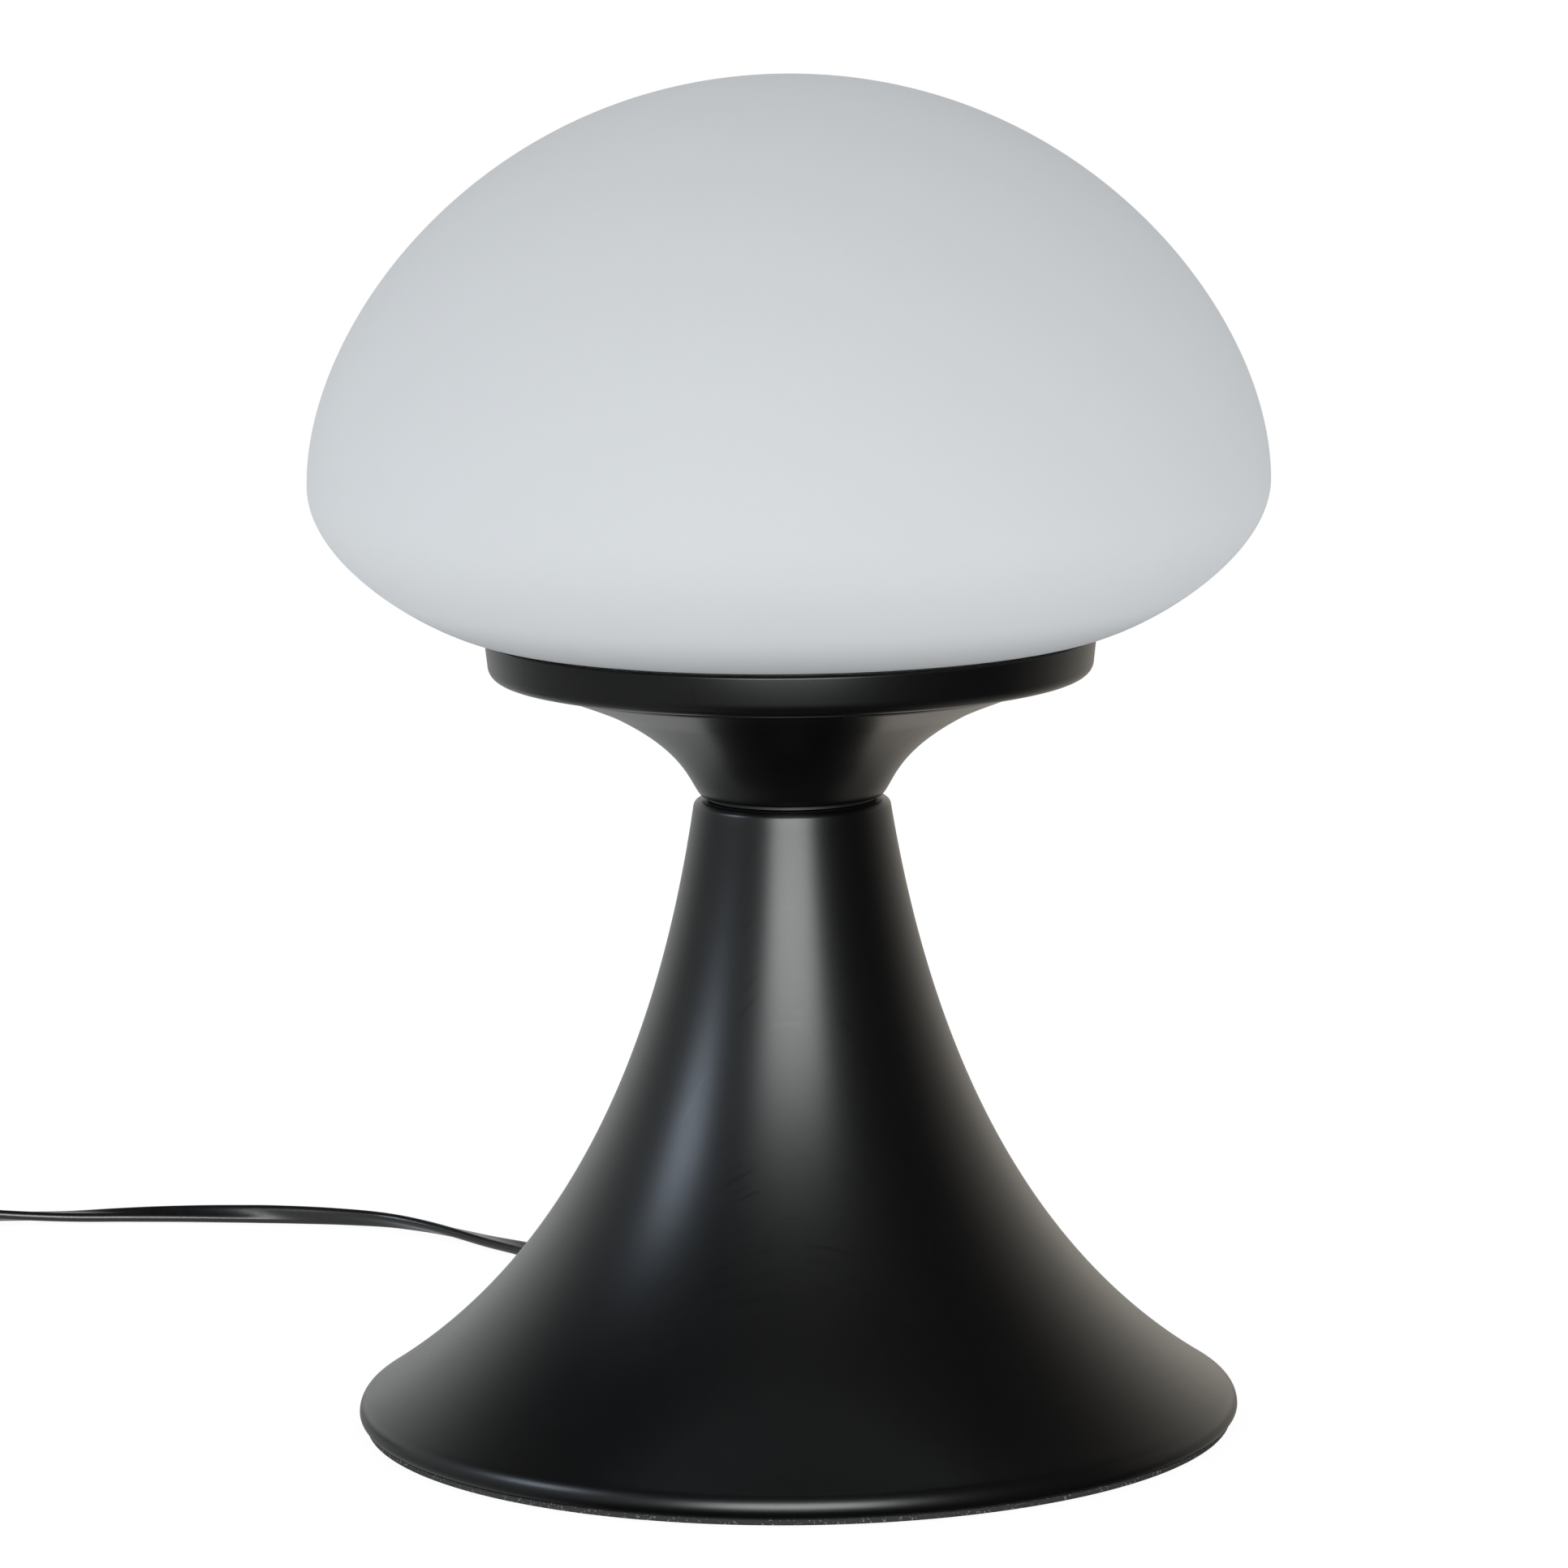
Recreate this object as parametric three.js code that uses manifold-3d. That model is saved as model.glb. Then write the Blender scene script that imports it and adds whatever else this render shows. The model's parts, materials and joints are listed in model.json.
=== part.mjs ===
// Touch table lamp: an opal glass shade on a flared neck and a trumpet-shaped steel base.
// Millimetres, +Z up, the origin on the table under the middle of the foot.
import * as THREE from "three";
import { mergeVertices } from "three/addons/utils/BufferGeometryUtils.js";
import Module from "manifold-3d";

const wasm = await Module();
wasm.setup();

const { degToRad } = THREE.MathUtils;
const quarterTurn = Math.PI / 2;
const halfTurn = Math.PI;

// Fits and fineness
const clearance = 0.3; // between pieces that rest on, or pass through, each other
const overrun = 2; // how far a cutter runs past what it cuts
const sink = 0.2; // how far a joined detail reaches into what carries it
const weldDistance = 0.0001;
const roundSteps = 32;
const smallSteps = 20;
const screwSteps = 10;

// Foot pad
const padThickness = 1.3;
const padInset = 1.5;

// Trumpet base, spun from one sheet and rolled in at its rim
const footRadius = 98.2;
const shellHeight = 138.7;
const shellWall = 1.2;
const shoulderRadius = 21.9;
const shoulderRound = 1.6;
const rimUpperRadius = 4.2;
const rimLowerRadius = 1.7;
const rimLip = 4;
const footAngle = degToRad(32.8);
const waistAngle = degToRad(8.8);
const waistReachShare = 0.572;
const footReachShare = 0.517;

// Foot plate and weight
const plateThickness = 1.2;
const weightThickness = 5;
const weightEdge = 1;
const leadRoom = 16; // free ring round the weight, for the lead and its bush
const weightScrewCount = 3;
const weightScrewMargin = 18; // from the weight's edge to its screws
const weightScrewRadius = 2;
const weightScrewHeadRadius = 4;
const weightScrewLength = 6.5;

// Hollow threaded tube that clamps the stand together
const nippleRadius = 5;
const nippleBore = 3.5;
const nippleStickOut = 2;
const nutAcross = 17;
const nutThickness = 4;
const washerRadius = 9.5;
const washerThickness = 1;
const terminalThickness = 0.8;
const terminalReach = 13;
const barrelRadius = 1.7;
const barrelLength = 6;
const barrelWall = 0.6;
const starToothCount = 10;
const starToothDepth = 0.9;

// Ring in the groove between base and neck
const spacerRadius = 18.8;
const spacerThickness = 0.6;
const spigotWall = 1.5;

// Flared neck, one spun sheet that runs on as a flatter rim under the collar
const neckWall = 1.2;
const neckFootRadius = 20.25;
const neckFlareRadius = 39.6;
const neckFlareHeight = 18.4;
const neckRimRadius = 55.5;
const neckRimHeight = 24.8;
const neckFootAngle = degToRad(42);
const neckFlareAngle = degToRad(28.1);
const neckRimAngle = degToRad(20);
const neckFootReachShare = 0.205;
const neckFlareReachShare = 0.952;
const neckRimReachShares = [0.15, 0.6]; // of the rim's run, from its start and from its end

// Collar: a pressed dish that nests in the neck, with a flat ledge under the glass
const collarRadius = 67.5;
const collarHeight = 9;
const collarWall = 1.2;
const collarDraft = 0.6;
const collarRound = 3;
const dishDepth = 6.7;
const dishMargin = 0.6;

// Glass shade
const shadeRadius = 105.8;
const glassWall = 3;
const glassNeckRadius = 62;
const glassNeckLength = 6.6;
const glassFillet = 3;
const bellyDepth = 33.2;
const crownHeight = 88.8;
const glassUnderAngle = degToRad(-14);
const crownReachShare = 0.605;
const bellyUpShare = 0.412;
const bellyDownShare = 0.55;
const underReachShare = 0.2;
const gasketThickness = 1.5;
const gasketMargin = 1;

// Leaf springs between the glass neck and the collar's wall
const clipCount = 3;
const clipFirstAngle = degToRad(30);
const clipThickness = 0.5;
const clipWidth = 8;
const clipHeight = 4.4;
const clipFoldRadius = 1.15;

// Light board on its aluminium hat
const carrierRadius = 33;
const carrierWall = 1.2;
const carrierBend = 1.6;
const hatRadius = 24;
const hatHeight = 9;
const hatHole = 2.5;
const carrierScrewCount = 3;
const boardRadius = 30;
const boardThickness = 1.6;
const chipSize = 2.8;
const chipThickness = 0.8;
const chipRingShares = [0.42, 0.8];
const chipRingCounts = [5, 11];
const boardScrewCount = 2;
const boardScrewCircle = 18;
const screwRadius = 1.5;
const screwHeadRadius = 2.8;
const screwHeadThickness = 1.4;
const screwLength = 4.5;

// Touch dimmer in the base
const moduleMargin = 16; // from the weight's edge to the middle of the dimmer's outer side
const moduleLength = 46;
const moduleWidth = 28;
const trayHeight = 12.4;
const trayWall = 1.6;
const trayRound = 2.5;
const ribHeight = 3;
const ribWidth = 3;
const lidThickness = 1.6;
const lidLipDepth = 1.2;
const tapeThickness = 1;
const tapeInset = 3;
const canRadius = 3;
const canHeight = 5.4;
const chipHeight = 1.4;
const blockHeight = 5;
const canPlaceShares = [0.25, 0.2]; // of the room inside the tray, along and across
const chipSizeShares = [0.2, 0.25];
const blockSizeShares = [0.167, 0.5];
const blockPlaceShare = -0.333;

// Flat two-core lead, standing on edge
const leadWidth = 4.6;
const leadThickness = 2.3;
const leadOutlineShares = [[1, -0.45], [1, 0.45], [0.62, 1], [0, 0.7], [-0.62, 1]];
const exitTurn = degToRad(18);
const wireRadius = 0.8;
const lightLeadRadius = 1.4;
const wireSides = 6;
const wireSpreadShare = 0.125; // of the dimmer's length, from its middle to each wire
const wireRiseShare = 0.333; // of the way up to the nipple, where the wires come together
const supplyBendWidths = 3; // of the lead, before the dimmer
const supplyEntryShare = 0.167; // of the dimmer's width

// Bush where the lead leaves the base
const bushRadius = 3.3;
const bushFlangeRadius = 5.4;
const bushInnerReach = 80; // from the lamp's axis to the bush's inner end
const bushFlangeReach = 101;
const bushReach = 126;
const bushInnerFlangeRadius = 4.6;
const bushTipRadius = 3.6;
const bushNoseRadius = 4.6;
const bushRibDepth = 0.55;
const bushRibCount = 5;

// Clip that holds the lead on the weight
const leadClipThickness = 0.8;
const leadClipWidth = 7;
const leadClipTab = 8;
const leadClipShare = 0.68; // of the weight's radius

// Coil of lead and its tie
const coilCentreX = -236.5;
const coilCentreY = 179.5;
const coilRadius = 30.6;
const coilPitch = 2.85;
const coilLayerGap = 0.55;
const coilTurns = 8.25;
const coilStepsPerTurn = 24;
const coilFlatShare = 0.55; // of half the lead's width, where its section is as thick as the lead
const coilLeadIn = 6;
const coilLeadOut = 10;
const coilApproach = 14;
const coilClimbTurns = 0.2; // to each side of the middle of the coil
const tieThickness = 0.9;
const tieWidth = 4;
const tieSlack = 0.7;
const tieAngle = degToRad(270);

// Hand-chosen points of the free lead: down from the bush, then over the table to the coil
const leadDescent = [
  [-41.4, 127.4, 11.6],
  [-45.2, 134.6, 9.6],
  [-50.4, 143.2, 6.6],
  [-57.6, 153.6, 3.7],
];
const leadOnTable = [
  [-67.4, 166.6],
  [-76.4, 176.8],
  [-85.2, 185.8],
  [-93.4, 193],
  [-102.6, 198.8],
  [-114.6, 202.6],
  [-130, 205.6],
  [-150, 208.6],
  [-171, 210.4],
  [-194, 210.8],
];

// Wall adapter
const adapterWidth = 34;
const adapterLength = 56;
const adapterHeight = 27;
const adapterRound = 5;
const adapterEdge = 2;
const adapterSplit = 13.5;
const reliefLength = 22;
const reliefRadius = 4.2;
const reliefTipRadius = 3.2;
const reliefRibDepth = 0.6;
const reliefRibCount = 4;
const bladeWidth = 6.3;
const bladeThickness = 1.5;
const bladeLength = 16;
const bladeRoot = 4;
const bladeSpacing = 12.7;
const bladeHole = 1.6;
const bladeTip = 1.2;

// Levels, from the table up
const shellBottom = padThickness + clearance;
const shellTop = shellBottom + shellHeight;
const plateBottom = shellBottom + shellWall + clearance;
const plateTop = plateBottom + plateThickness;
const weightBottom = plateTop + clearance;
const weightTop = weightBottom + weightThickness;
const spacerBottom = shellTop + clearance;
const neckBottom = spacerBottom + spacerThickness + clearance;
const flareTop = neckBottom + neckFlareHeight;
const collarBottom = flareTop + neckWall + clearance;
const collarFloor = collarBottom + collarWall;
const ledgeBottom = collarBottom + dishDepth;
const ledgeTop = ledgeBottom + collarWall;
const collarTop = ledgeBottom + collarHeight;
const gasketBottom = ledgeTop + clearance;
const lipBottom = gasketBottom + gasketThickness + clearance;
const leadLevel = weightTop + clearance + leadWidth / 2;

// Geometry helpers

const point = (r, z) => new THREE.Vector2(r, z);

const polar = (centre, radius, angle) =>
  point(centre.x + radius * Math.cos(angle), centre.y + radius * Math.sin(angle));

function toSolid(geometry) {
  const bare = geometry.clone();
  bare.deleteAttribute("normal");
  bare.deleteAttribute("uv");
  const merged = mergeVertices(bare, weldDistance);
  const corners = Array.from(merged.index.array);
  const kept = [];
  for (let i = 0; i < corners.length; i += 3) {
    const [a, b, c] = corners.slice(i, i + 3);
    if (a !== b && b !== c && c !== a) kept.push(a, b, c);
  }
  return new wasm.Manifold(
    new wasm.Mesh({
      numProp: 3,
      vertProperties: merged.attributes.position.array,
      triVerts: new Uint32Array(kept),
    }),
  );
}

function toGeometry(solid) {
  const mesh = solid.getMesh();
  const geometry = new THREE.BufferGeometry();
  geometry.setAttribute("position", new THREE.BufferAttribute(mesh.vertProperties, 3));
  geometry.setIndex(new THREE.BufferAttribute(mesh.triVerts, 1));
  geometry.computeVertexNormals();
  return geometry;
}

const cut = (body, ...tools) =>
  toGeometry(tools.reduce((solid, tool) => solid.subtract(toSolid(tool)), toSolid(body)));

const join = (body, ...others) =>
  toGeometry(others.reduce((solid, other) => solid.add(toSolid(other)), toSolid(body)));

const common = (body, other) => toGeometry(toSolid(body).intersect(toSolid(other)));

// Turns a closed outline of (radius, height) points, listed anticlockwise, about the Z axis.
function revolve(outline, steps = roundSteps) {
  const closed = [...outline, outline[0]];
  return toGeometry(toSolid(new THREE.LatheGeometry(closed, steps).rotateX(quarterTurn)));
}

const ring = (inner, outer, bottom, top, steps) =>
  revolve([point(inner, bottom), point(outer, bottom), point(outer, top), point(inner, top)], steps);

const disc = (radius, bottom, top, steps) => ring(0, radius, bottom, top, steps);

function prism(shape, bottom, top) {
  const extruded = new THREE.ExtrudeGeometry(shape, {
    depth: top - bottom,
    bevelEnabled: false,
    curveSegments: 3,
  });
  return extruded.translate(0, 0, bottom);
}

function roundedRectangle(width, depth, round) {
  const [x, y] = [width / 2, depth / 2];
  const shape = new THREE.Shape();
  shape.moveTo(x, round - y);
  shape.lineTo(x, y - round);
  shape.absarc(x - round, y - round, round, 0, quarterTurn);
  shape.lineTo(round - x, y);
  shape.absarc(round - x, y - round, round, quarterTurn, halfTurn);
  shape.lineTo(-x, round - y);
  shape.absarc(round - x, round - y, round, halfTurn, halfTurn + quarterTurn);
  shape.lineTo(x - round, -y);
  shape.absarc(x - round, round - y, round, -quarterTurn, 0);
  return shape;
}

const box = (width, depth, bottom, top) =>
  new THREE.BoxGeometry(width, depth, top - bottom).translate(0, 0, (top + bottom) / 2);

function arc(centre, radius, from, to, steps) {
  const points = [];
  for (let i = 0; i <= steps; i++) points.push(polar(centre, radius, from + ((to - from) * i) / steps));
  return points;
}

// Joins lists of points into one path and drops a point that repeats the one before it.
function chain(...lists) {
  return lists.flat().filter((p, i, all) => i === 0 || p.distanceTo(all[i - 1]) > weldDistance);
}

// The same path, moved to its left by depth with mitred corners.
function offset(path, depth) {
  return path.map((p, i) => {
    const before = path[Math.max(i - 1, 0)];
    const after = path[Math.min(i + 1, path.length - 1)];
    const into = (i > 0 ? p.clone().sub(before) : after.clone().sub(p)).normalize();
    const out = (i < path.length - 1 ? after.clone().sub(p) : into.clone()).normalize();
    const left = point(-into.y - out.y, into.x + out.x);
    return p.clone().addScaledVector(left, depth / (1 + into.dot(out)));
  });
}

// Outline of a sheet whose outer face follows the path, with its end edge rounded by edgeSteps.
function sheet(path, wall, edgeSteps = 1) {
  const inner = offset(path, wall);
  if (path.at(-1).x === 0) inner.at(-1).x = 0;
  const middle = path.at(-1).clone().add(inner.at(-1)).divideScalar(2);
  const toOuter = path.at(-1).clone().sub(middle);
  const edge = arc(middle, toOuter.length(), toOuter.angle(), toOuter.angle() + halfTurn, edgeSteps);
  return [...path, ...edge.slice(1, -1), ...inner.reverse()];
}

// Radius of a rising path at a height
function radiusAt(path, z) {
  const i = path.findIndex((p) => p.y > z);
  const [a, b] = [path[i - 1], path[i]];
  return a.x + ((b.x - a.x) * (z - a.y)) / (b.y - a.y);
}

const hexagon = (across) => {
  const corners = arc(point(0, 0), across / 2 / Math.cos(halfTurn / 6), 0, 2 * halfTurn, 6);
  return new THREE.Shape(corners.slice(1));
};

const nut = (across, bore, thickness) =>
  cut(prism(hexagon(across), 0, thickness), disc(bore, -overrun, thickness + overrun, smallSteps));

// Screw with a low domed head, which rests on the XY plane with its shank hanging down
function screw(shankRadius, shankLength, headRadius, headThickness) {
  const tip = shankRadius / 2;
  return revolve(
    [
      point(0, -shankLength),
      point(tip, -shankLength),
      point(shankRadius, tip - shankLength),
      point(shankRadius, 0),
      point(headRadius, 0),
      point(headRadius, headThickness / 2),
      point(headRadius - headThickness / 2, headThickness),
      point(0, headThickness),
    ],
    screwSteps,
  );
}

const hole = (radius, bottom, top, x = 0, y = 0, steps = screwSteps) =>
  disc(radius, bottom, top, steps).translate(x, y, 0);

const around = (count, first = 0) =>
  Array.from({ length: count }, (_, i) => first + (2 * halfTurn * i) / count);

function circleShape(radius, sides) {
  return new THREE.Shape(arc(point(0, 0), radius, 0, 2 * halfTurn, sides).slice(1));
}

function tube(route, shape, steps) {
  const path = new THREE.CatmullRomCurve3(route, false, "centripetal");
  return new THREE.ExtrudeGeometry(shape, { steps, bevelEnabled: false, extrudePath: path });
}

// Materials

const finish = (colour, roughness, metalness = 0) =>
  new THREE.MeshStandardMaterial({ color: colour, roughness, metalness });

const blackPaint = finish(0x17171a, 0.42, 0.25);
const opalGlass = finish(0xd3d7da, 0.38);
const darkFoam = finish(0x1d1d1f, 0.95);
const zincSteel = finish(0xb4b6b8, 0.35, 0.9);
const rawSteel = finish(0x5d5f62, 0.6, 0.8);
const brass = finish(0xb8964e, 0.35, 0.95);
const aluminium = finish(0xc3c5c8, 0.4, 0.9);
const boardWhite = finish(0xeeeeea, 0.5);
const boardGreen = finish(0x1f5a38, 0.5);
const blackPlastic = finish(0x141416, 0.5);
const greyPlastic = finish(0x44464a, 0.6);
const blackRubber = finish(0x161617, 0.7);
const greyRubber = finish(0x8c8e90, 0.8);
const leadVinyl = finish(0x18191b, 0.45);
const redVinyl = finish(0x9d2420, 0.5);

// The lamp's groups: the stand, the shade that lifts off it, and what is turned with the lead's exit

const lamp = new THREE.Group();
const stand = new THREE.Group();
const shade = new THREE.Group();
const exit = new THREE.Group();
exit.rotation.z = exitTurn;
stand.add(exit);
lamp.add(stand, shade);

function add(name, geometry, material, z = 0, group = stand) {
  const mesh = new THREE.Mesh(geometry, material);
  mesh.name = name;
  mesh.position.z = z;
  group.add(mesh);
  return mesh;
}

// Trumpet base

function shellPath(arcSteps, sweepSteps) {
  const rimLevel = shellBottom + rimLowerRadius;
  const lowerCentre = point(footRadius - rimLowerRadius, rimLevel);
  const upperCentre = point(footRadius - rimUpperRadius, rimLevel);
  const shoulderCentre = point(shoulderRadius - shoulderRound, shellTop - shoulderRound);
  const foot = polar(upperCentre, rimUpperRadius, quarterTurn - footAngle);
  const shoulder = polar(shoulderCentre, shoulderRound, waistAngle);
  const footReach = footReachShare * (foot.x - shoulder.x);
  const waistReach = waistReachShare * (shoulder.y - foot.y);
  const sweep = new THREE.CubicBezierCurve(
    foot,
    polar(foot, footReach, halfTurn - footAngle),
    polar(shoulder, waistReach, waistAngle - quarterTurn),
    shoulder,
  );
  return chain(
    [point(lowerCentre.x - rimLip, shellBottom)],
    arc(lowerCentre, rimLowerRadius, -quarterTurn, 0, arcSteps),
    arc(upperCentre, rimUpperRadius, 0, quarterTurn - footAngle, arcSteps),
    sweep.getPoints(sweepSteps),
    arc(shoulderCentre, shoulderRound, waistAngle, quarterTurn, arcSteps),
  );
}

const outerPath = shellPath(3, 11);
const nippleHole = nippleRadius + clearance + spigotWall + clearance;
const shellOutline = sheet([...outerPath, point(nippleHole, shellTop)], shellWall);
const innerPath = offset(outerPath, shellWall);
const exitHole = new THREE.CylinderGeometry(
  bushRadius + clearance,
  bushRadius + clearance,
  bushFlangeReach,
  smallSteps,
)
  .translate(0, bushFlangeReach / 2 + bushInnerReach / 2, leadLevel)
  .rotateZ(exitTurn);
add("base_shell", cut(revolve(shellOutline), exitHole), blackPaint);

const padRadius = footRadius - padInset;
add("foot_pad", disc(padRadius, 0, padThickness), darkFoam);

// Foot plate, weight and their screws

const plateRadius = footRadius - rimLowerRadius - clearance;
const weightRadius = radiusAt(innerPath, weightTop) - leadRoom;
const weightScrewCircle = weightRadius - weightScrewMargin;
const moduleDistance = weightRadius - moduleMargin - moduleWidth / 2;
const weightScrews = around(weightScrewCount, quarterTurn);
const weightScrewHole = weightScrewRadius + clearance;
const plateHoles = weightScrews.map((angle) =>
  hole(
    weightScrewHole,
    plateBottom - overrun,
    weightTop + overrun,
    weightScrewCircle * Math.cos(angle),
    weightScrewCircle * Math.sin(angle),
  ),
);
add("foot_plate", cut(disc(plateRadius, plateBottom, plateTop), ...plateHoles), rawSteel);

const leadClipX = -leadClipShare * weightRadius;
const clipScrewHole = hole(
  screwRadius + clearance,
  weightBottom - overrun,
  weightTop + overrun,
  leadClipX + leadClipTab,
);
const weightOutline = [
  point(nippleRadius, weightBottom),
  point(weightRadius - weightEdge, weightBottom),
  point(weightRadius, weightBottom + weightEdge),
  point(weightRadius, weightTop - weightEdge),
  point(weightRadius - weightEdge, weightTop),
  point(nippleRadius, weightTop),
];
add("base_weight", cut(revolve(weightOutline), clipScrewHole, ...plateHoles), rawSteel);

const weightScrewHeadTop = plateBottom - clearance;
weightScrews.forEach((angle, i) => {
  const shape = screw(
    weightScrewRadius,
    weightScrewLength,
    weightScrewHeadRadius,
    weightScrewHeadTop - shellBottom,
  );
  const mesh = add("weight_screw_" + (i + 1), shape.rotateX(halfTurn), zincSteel, weightScrewHeadTop);
  mesh.position.x = weightScrewCircle * Math.cos(angle);
  mesh.position.y = weightScrewCircle * Math.sin(angle);
});

// Threaded tube, with its nuts and washers under the top of the base and in the collar

const nippleFit = nippleRadius + clearance;
const lowWasherBottom = shellTop - shellWall - clearance - washerThickness;
const terminalBottom = lowWasherBottom - clearance - terminalThickness;
const starBottom = terminalBottom - clearance - washerThickness;
const lowNutBottom = starBottom - clearance - nutThickness;
const topWasherBottom = collarFloor + clearance;
const topNutBottom = topWasherBottom + washerThickness + clearance;
const nippleBottom = lowNutBottom - nippleStickOut;
const nippleTop = topNutBottom + nutThickness + nippleStickOut;

add("nipple", ring(nippleBore, nippleRadius, nippleBottom, nippleTop, smallSteps), zincSteel);
const washer = ring(nippleFit, washerRadius, 0, washerThickness, smallSteps);
add("nipple_washer_low", washer, zincSteel, lowWasherBottom);
add("nipple_washer_top", washer.clone(), zincSteel, topWasherBottom);
add("nipple_nut_low", nut(nutAcross, nippleFit, nutThickness), zincSteel, lowNutBottom);
add("nipple_nut_top", nut(nutAcross, nippleFit, nutThickness), zincSteel, topNutBottom);

const starOutline = around(2 * starToothCount).map((angle, i) =>
  polar(point(0, 0), washerRadius - (i % 2) * starToothDepth, angle),
);
const starDisc = prism(new THREE.Shape(starOutline), 0, washerThickness);
const starHole = disc(nippleFit, -overrun, washerThickness + overrun, smallSteps);
add("star_washer", cut(starDisc, starHole), zincSteel, starBottom);

// Ring terminal whose barrel is bent down to take the sensor wire
const terminalTongue = box(2 * barrelRadius, terminalReach - nippleFit, 0, terminalThickness);
terminalTongue.translate(0, -(terminalReach + nippleFit) / 2, 0);
const terminalBarrel = disc(barrelRadius, -barrelLength, terminalThickness, screwSteps);
terminalBarrel.translate(0, -terminalReach, 0);
const barrelBore = disc(barrelRadius - barrelWall, -barrelLength - overrun, 0, screwSteps);
barrelBore.translate(0, -terminalReach, 0);
const terminalHole = disc(nippleFit, -overrun, terminalThickness + overrun, smallSteps);
const terminalBody = join(
  disc(washerRadius - starToothDepth, 0, terminalThickness, smallSteps),
  terminalTongue,
  terminalBarrel,
);
add("ring_terminal", cut(terminalBody, terminalHole, barrelBore), brass, terminalBottom);

// Ring in the groove, with a spigot that centres it in the hole of the base

const spigotBottom = shellTop - shellWall;
const spacerOutline = [
  point(nippleFit, spigotBottom),
  point(nippleFit + spigotWall, spigotBottom),
  point(nippleFit + spigotWall, spacerBottom),
  point(spacerRadius, spacerBottom),
  point(spacerRadius, spacerBottom + spacerThickness),
  point(nippleFit, spacerBottom + spacerThickness),
];
add("neck_spacer", revolve(spacerOutline, smallSteps), blackPlastic);

// Flared neck

const neckFoot = point(neckFootRadius, neckBottom);
const flareEnd = point(neckFlareRadius, flareTop);
const neckRim = point(neckRimRadius, neckBottom + neckRimHeight);
const rimRun = neckRimRadius - neckFlareRadius;
const flare = new THREE.CubicBezierCurve(
  neckFoot,
  polar(neckFoot, neckFootReachShare * neckFlareHeight, quarterTurn - neckFootAngle),
  polar(flareEnd, neckFlareReachShare * (neckFlareRadius - neckFootRadius), halfTurn + neckFlareAngle),
  flareEnd,
);
const flareRim = new THREE.CubicBezierCurve(
  flareEnd,
  polar(flareEnd, neckRimReachShares[0] * rimRun, neckFlareAngle),
  polar(neckRim, neckRimReachShares[1] * rimRun, halfTurn + neckRimAngle),
  neckRim,
);
const neckPath = chain([point(nippleFit, neckBottom)], flare.getPoints(7), flareRim.getPoints(3));
add("neck_flare", revolve(sheet(neckPath, neckWall)), blackPaint);

// Collar

const nest = offset(neckPath, neckWall + clearance);
const floorEdge = point(radiusAt(nest, collarBottom), collarBottom);
const dish = nest.filter((p) => p.y > collarBottom && p.x > floorEdge.x);
const cornerCentre = point(collarRadius - collarDraft - collarRound, ledgeBottom + collarRound);
const collarPath = chain(
  [point(nippleFit, collarBottom), floorEdge],
  dish,
  [point(neckRimRadius + dishMargin, ledgeBottom)],
  arc(cornerCentre, collarRound, -quarterTurn, 0, 4),
  [point(collarRadius, collarTop - collarWall / 2)],
);
const carrierScrewCircle = (hatRadius + carrierRadius) / 2;
const carrierScrews = around(carrierScrewCount, quarterTurn);
const carrierHoles = carrierScrews.map((angle) =>
  hole(
    screwRadius + clearance,
    collarBottom - overrun,
    collarFloor + hatHeight,
    carrierScrewCircle * Math.cos(angle),
    carrierScrewCircle * Math.sin(angle),
  ),
);
add("collar", cut(revolve(sheet(collarPath, collarWall, 4)), ...carrierHoles), blackPaint);

// Glass shade and the gasket under it

const glassMouth = glassNeckRadius - glassWall;
const underLevel = lipBottom + glassNeckLength;
const bellyLevel = underLevel + bellyDepth;
const glassTop = bellyLevel + crownHeight;
const filletCentre = point(glassNeckRadius + glassFillet, underLevel - glassFillet);
const under = polar(filletCentre, glassFillet, quarterTurn + glassUnderAngle);
const belly = point(shadeRadius, bellyLevel);
const crown = point(0, glassTop);
const lowerSweep = new THREE.CubicBezierCurve(
  under,
  polar(under, underReachShare * (belly.x - under.x), glassUnderAngle),
  point(shadeRadius, bellyLevel - bellyDownShare * bellyDepth),
  belly,
);
const upperSweep = new THREE.CubicBezierCurve(
  belly,
  point(shadeRadius, bellyLevel + bellyUpShare * crownHeight),
  point(crownReachShare * shadeRadius, glassTop),
  crown,
);
const glassPath = chain(
  [point(glassNeckRadius, lipBottom)],
  arc(filletCentre, glassFillet, halfTurn, quarterTurn + glassUnderAngle, 3),
  lowerSweep.getPoints(7),
  upperSweep.getPoints(10),
);
add("glass_shade", revolve(sheet(glassPath, glassWall)), opalGlass, 0, shade);

const gasket = ring(glassMouth - gasketMargin, glassNeckRadius, 0, gasketThickness);
add("shade_gasket", gasket, greyRubber, gasketBottom);

// Spring clips: hairpins of strip whose inner arm touches the glass neck

const clipInner = glassNeckRadius + clearance;
const clipOuter = clipInner + 2 * clipFoldRadius + clearance;
const clipFold = point(clipOuter - clipFoldRadius, clipHeight - clipFoldRadius);
const clipPath = chain(
  [point(clipOuter, 0)],
  arc(clipFold, clipFoldRadius, 0, halfTurn, 5),
  [point(clipInner, clipHeight / 2), point(clipInner + clipFoldRadius / 2, 0)],
);
const clipShape = new THREE.Shape(sheet(clipPath, clipThickness));
around(clipCount, clipFirstAngle).forEach((angle, i) => {
  const strip = prism(clipShape, -clipWidth / 2, clipWidth / 2).rotateX(quarterTurn);
  const mesh = add("shade_clip_" + (i + 1), strip, zincSteel, cornerCentre.y);
  mesh.rotation.z = angle;
});

// Aluminium hat and light board

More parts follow.
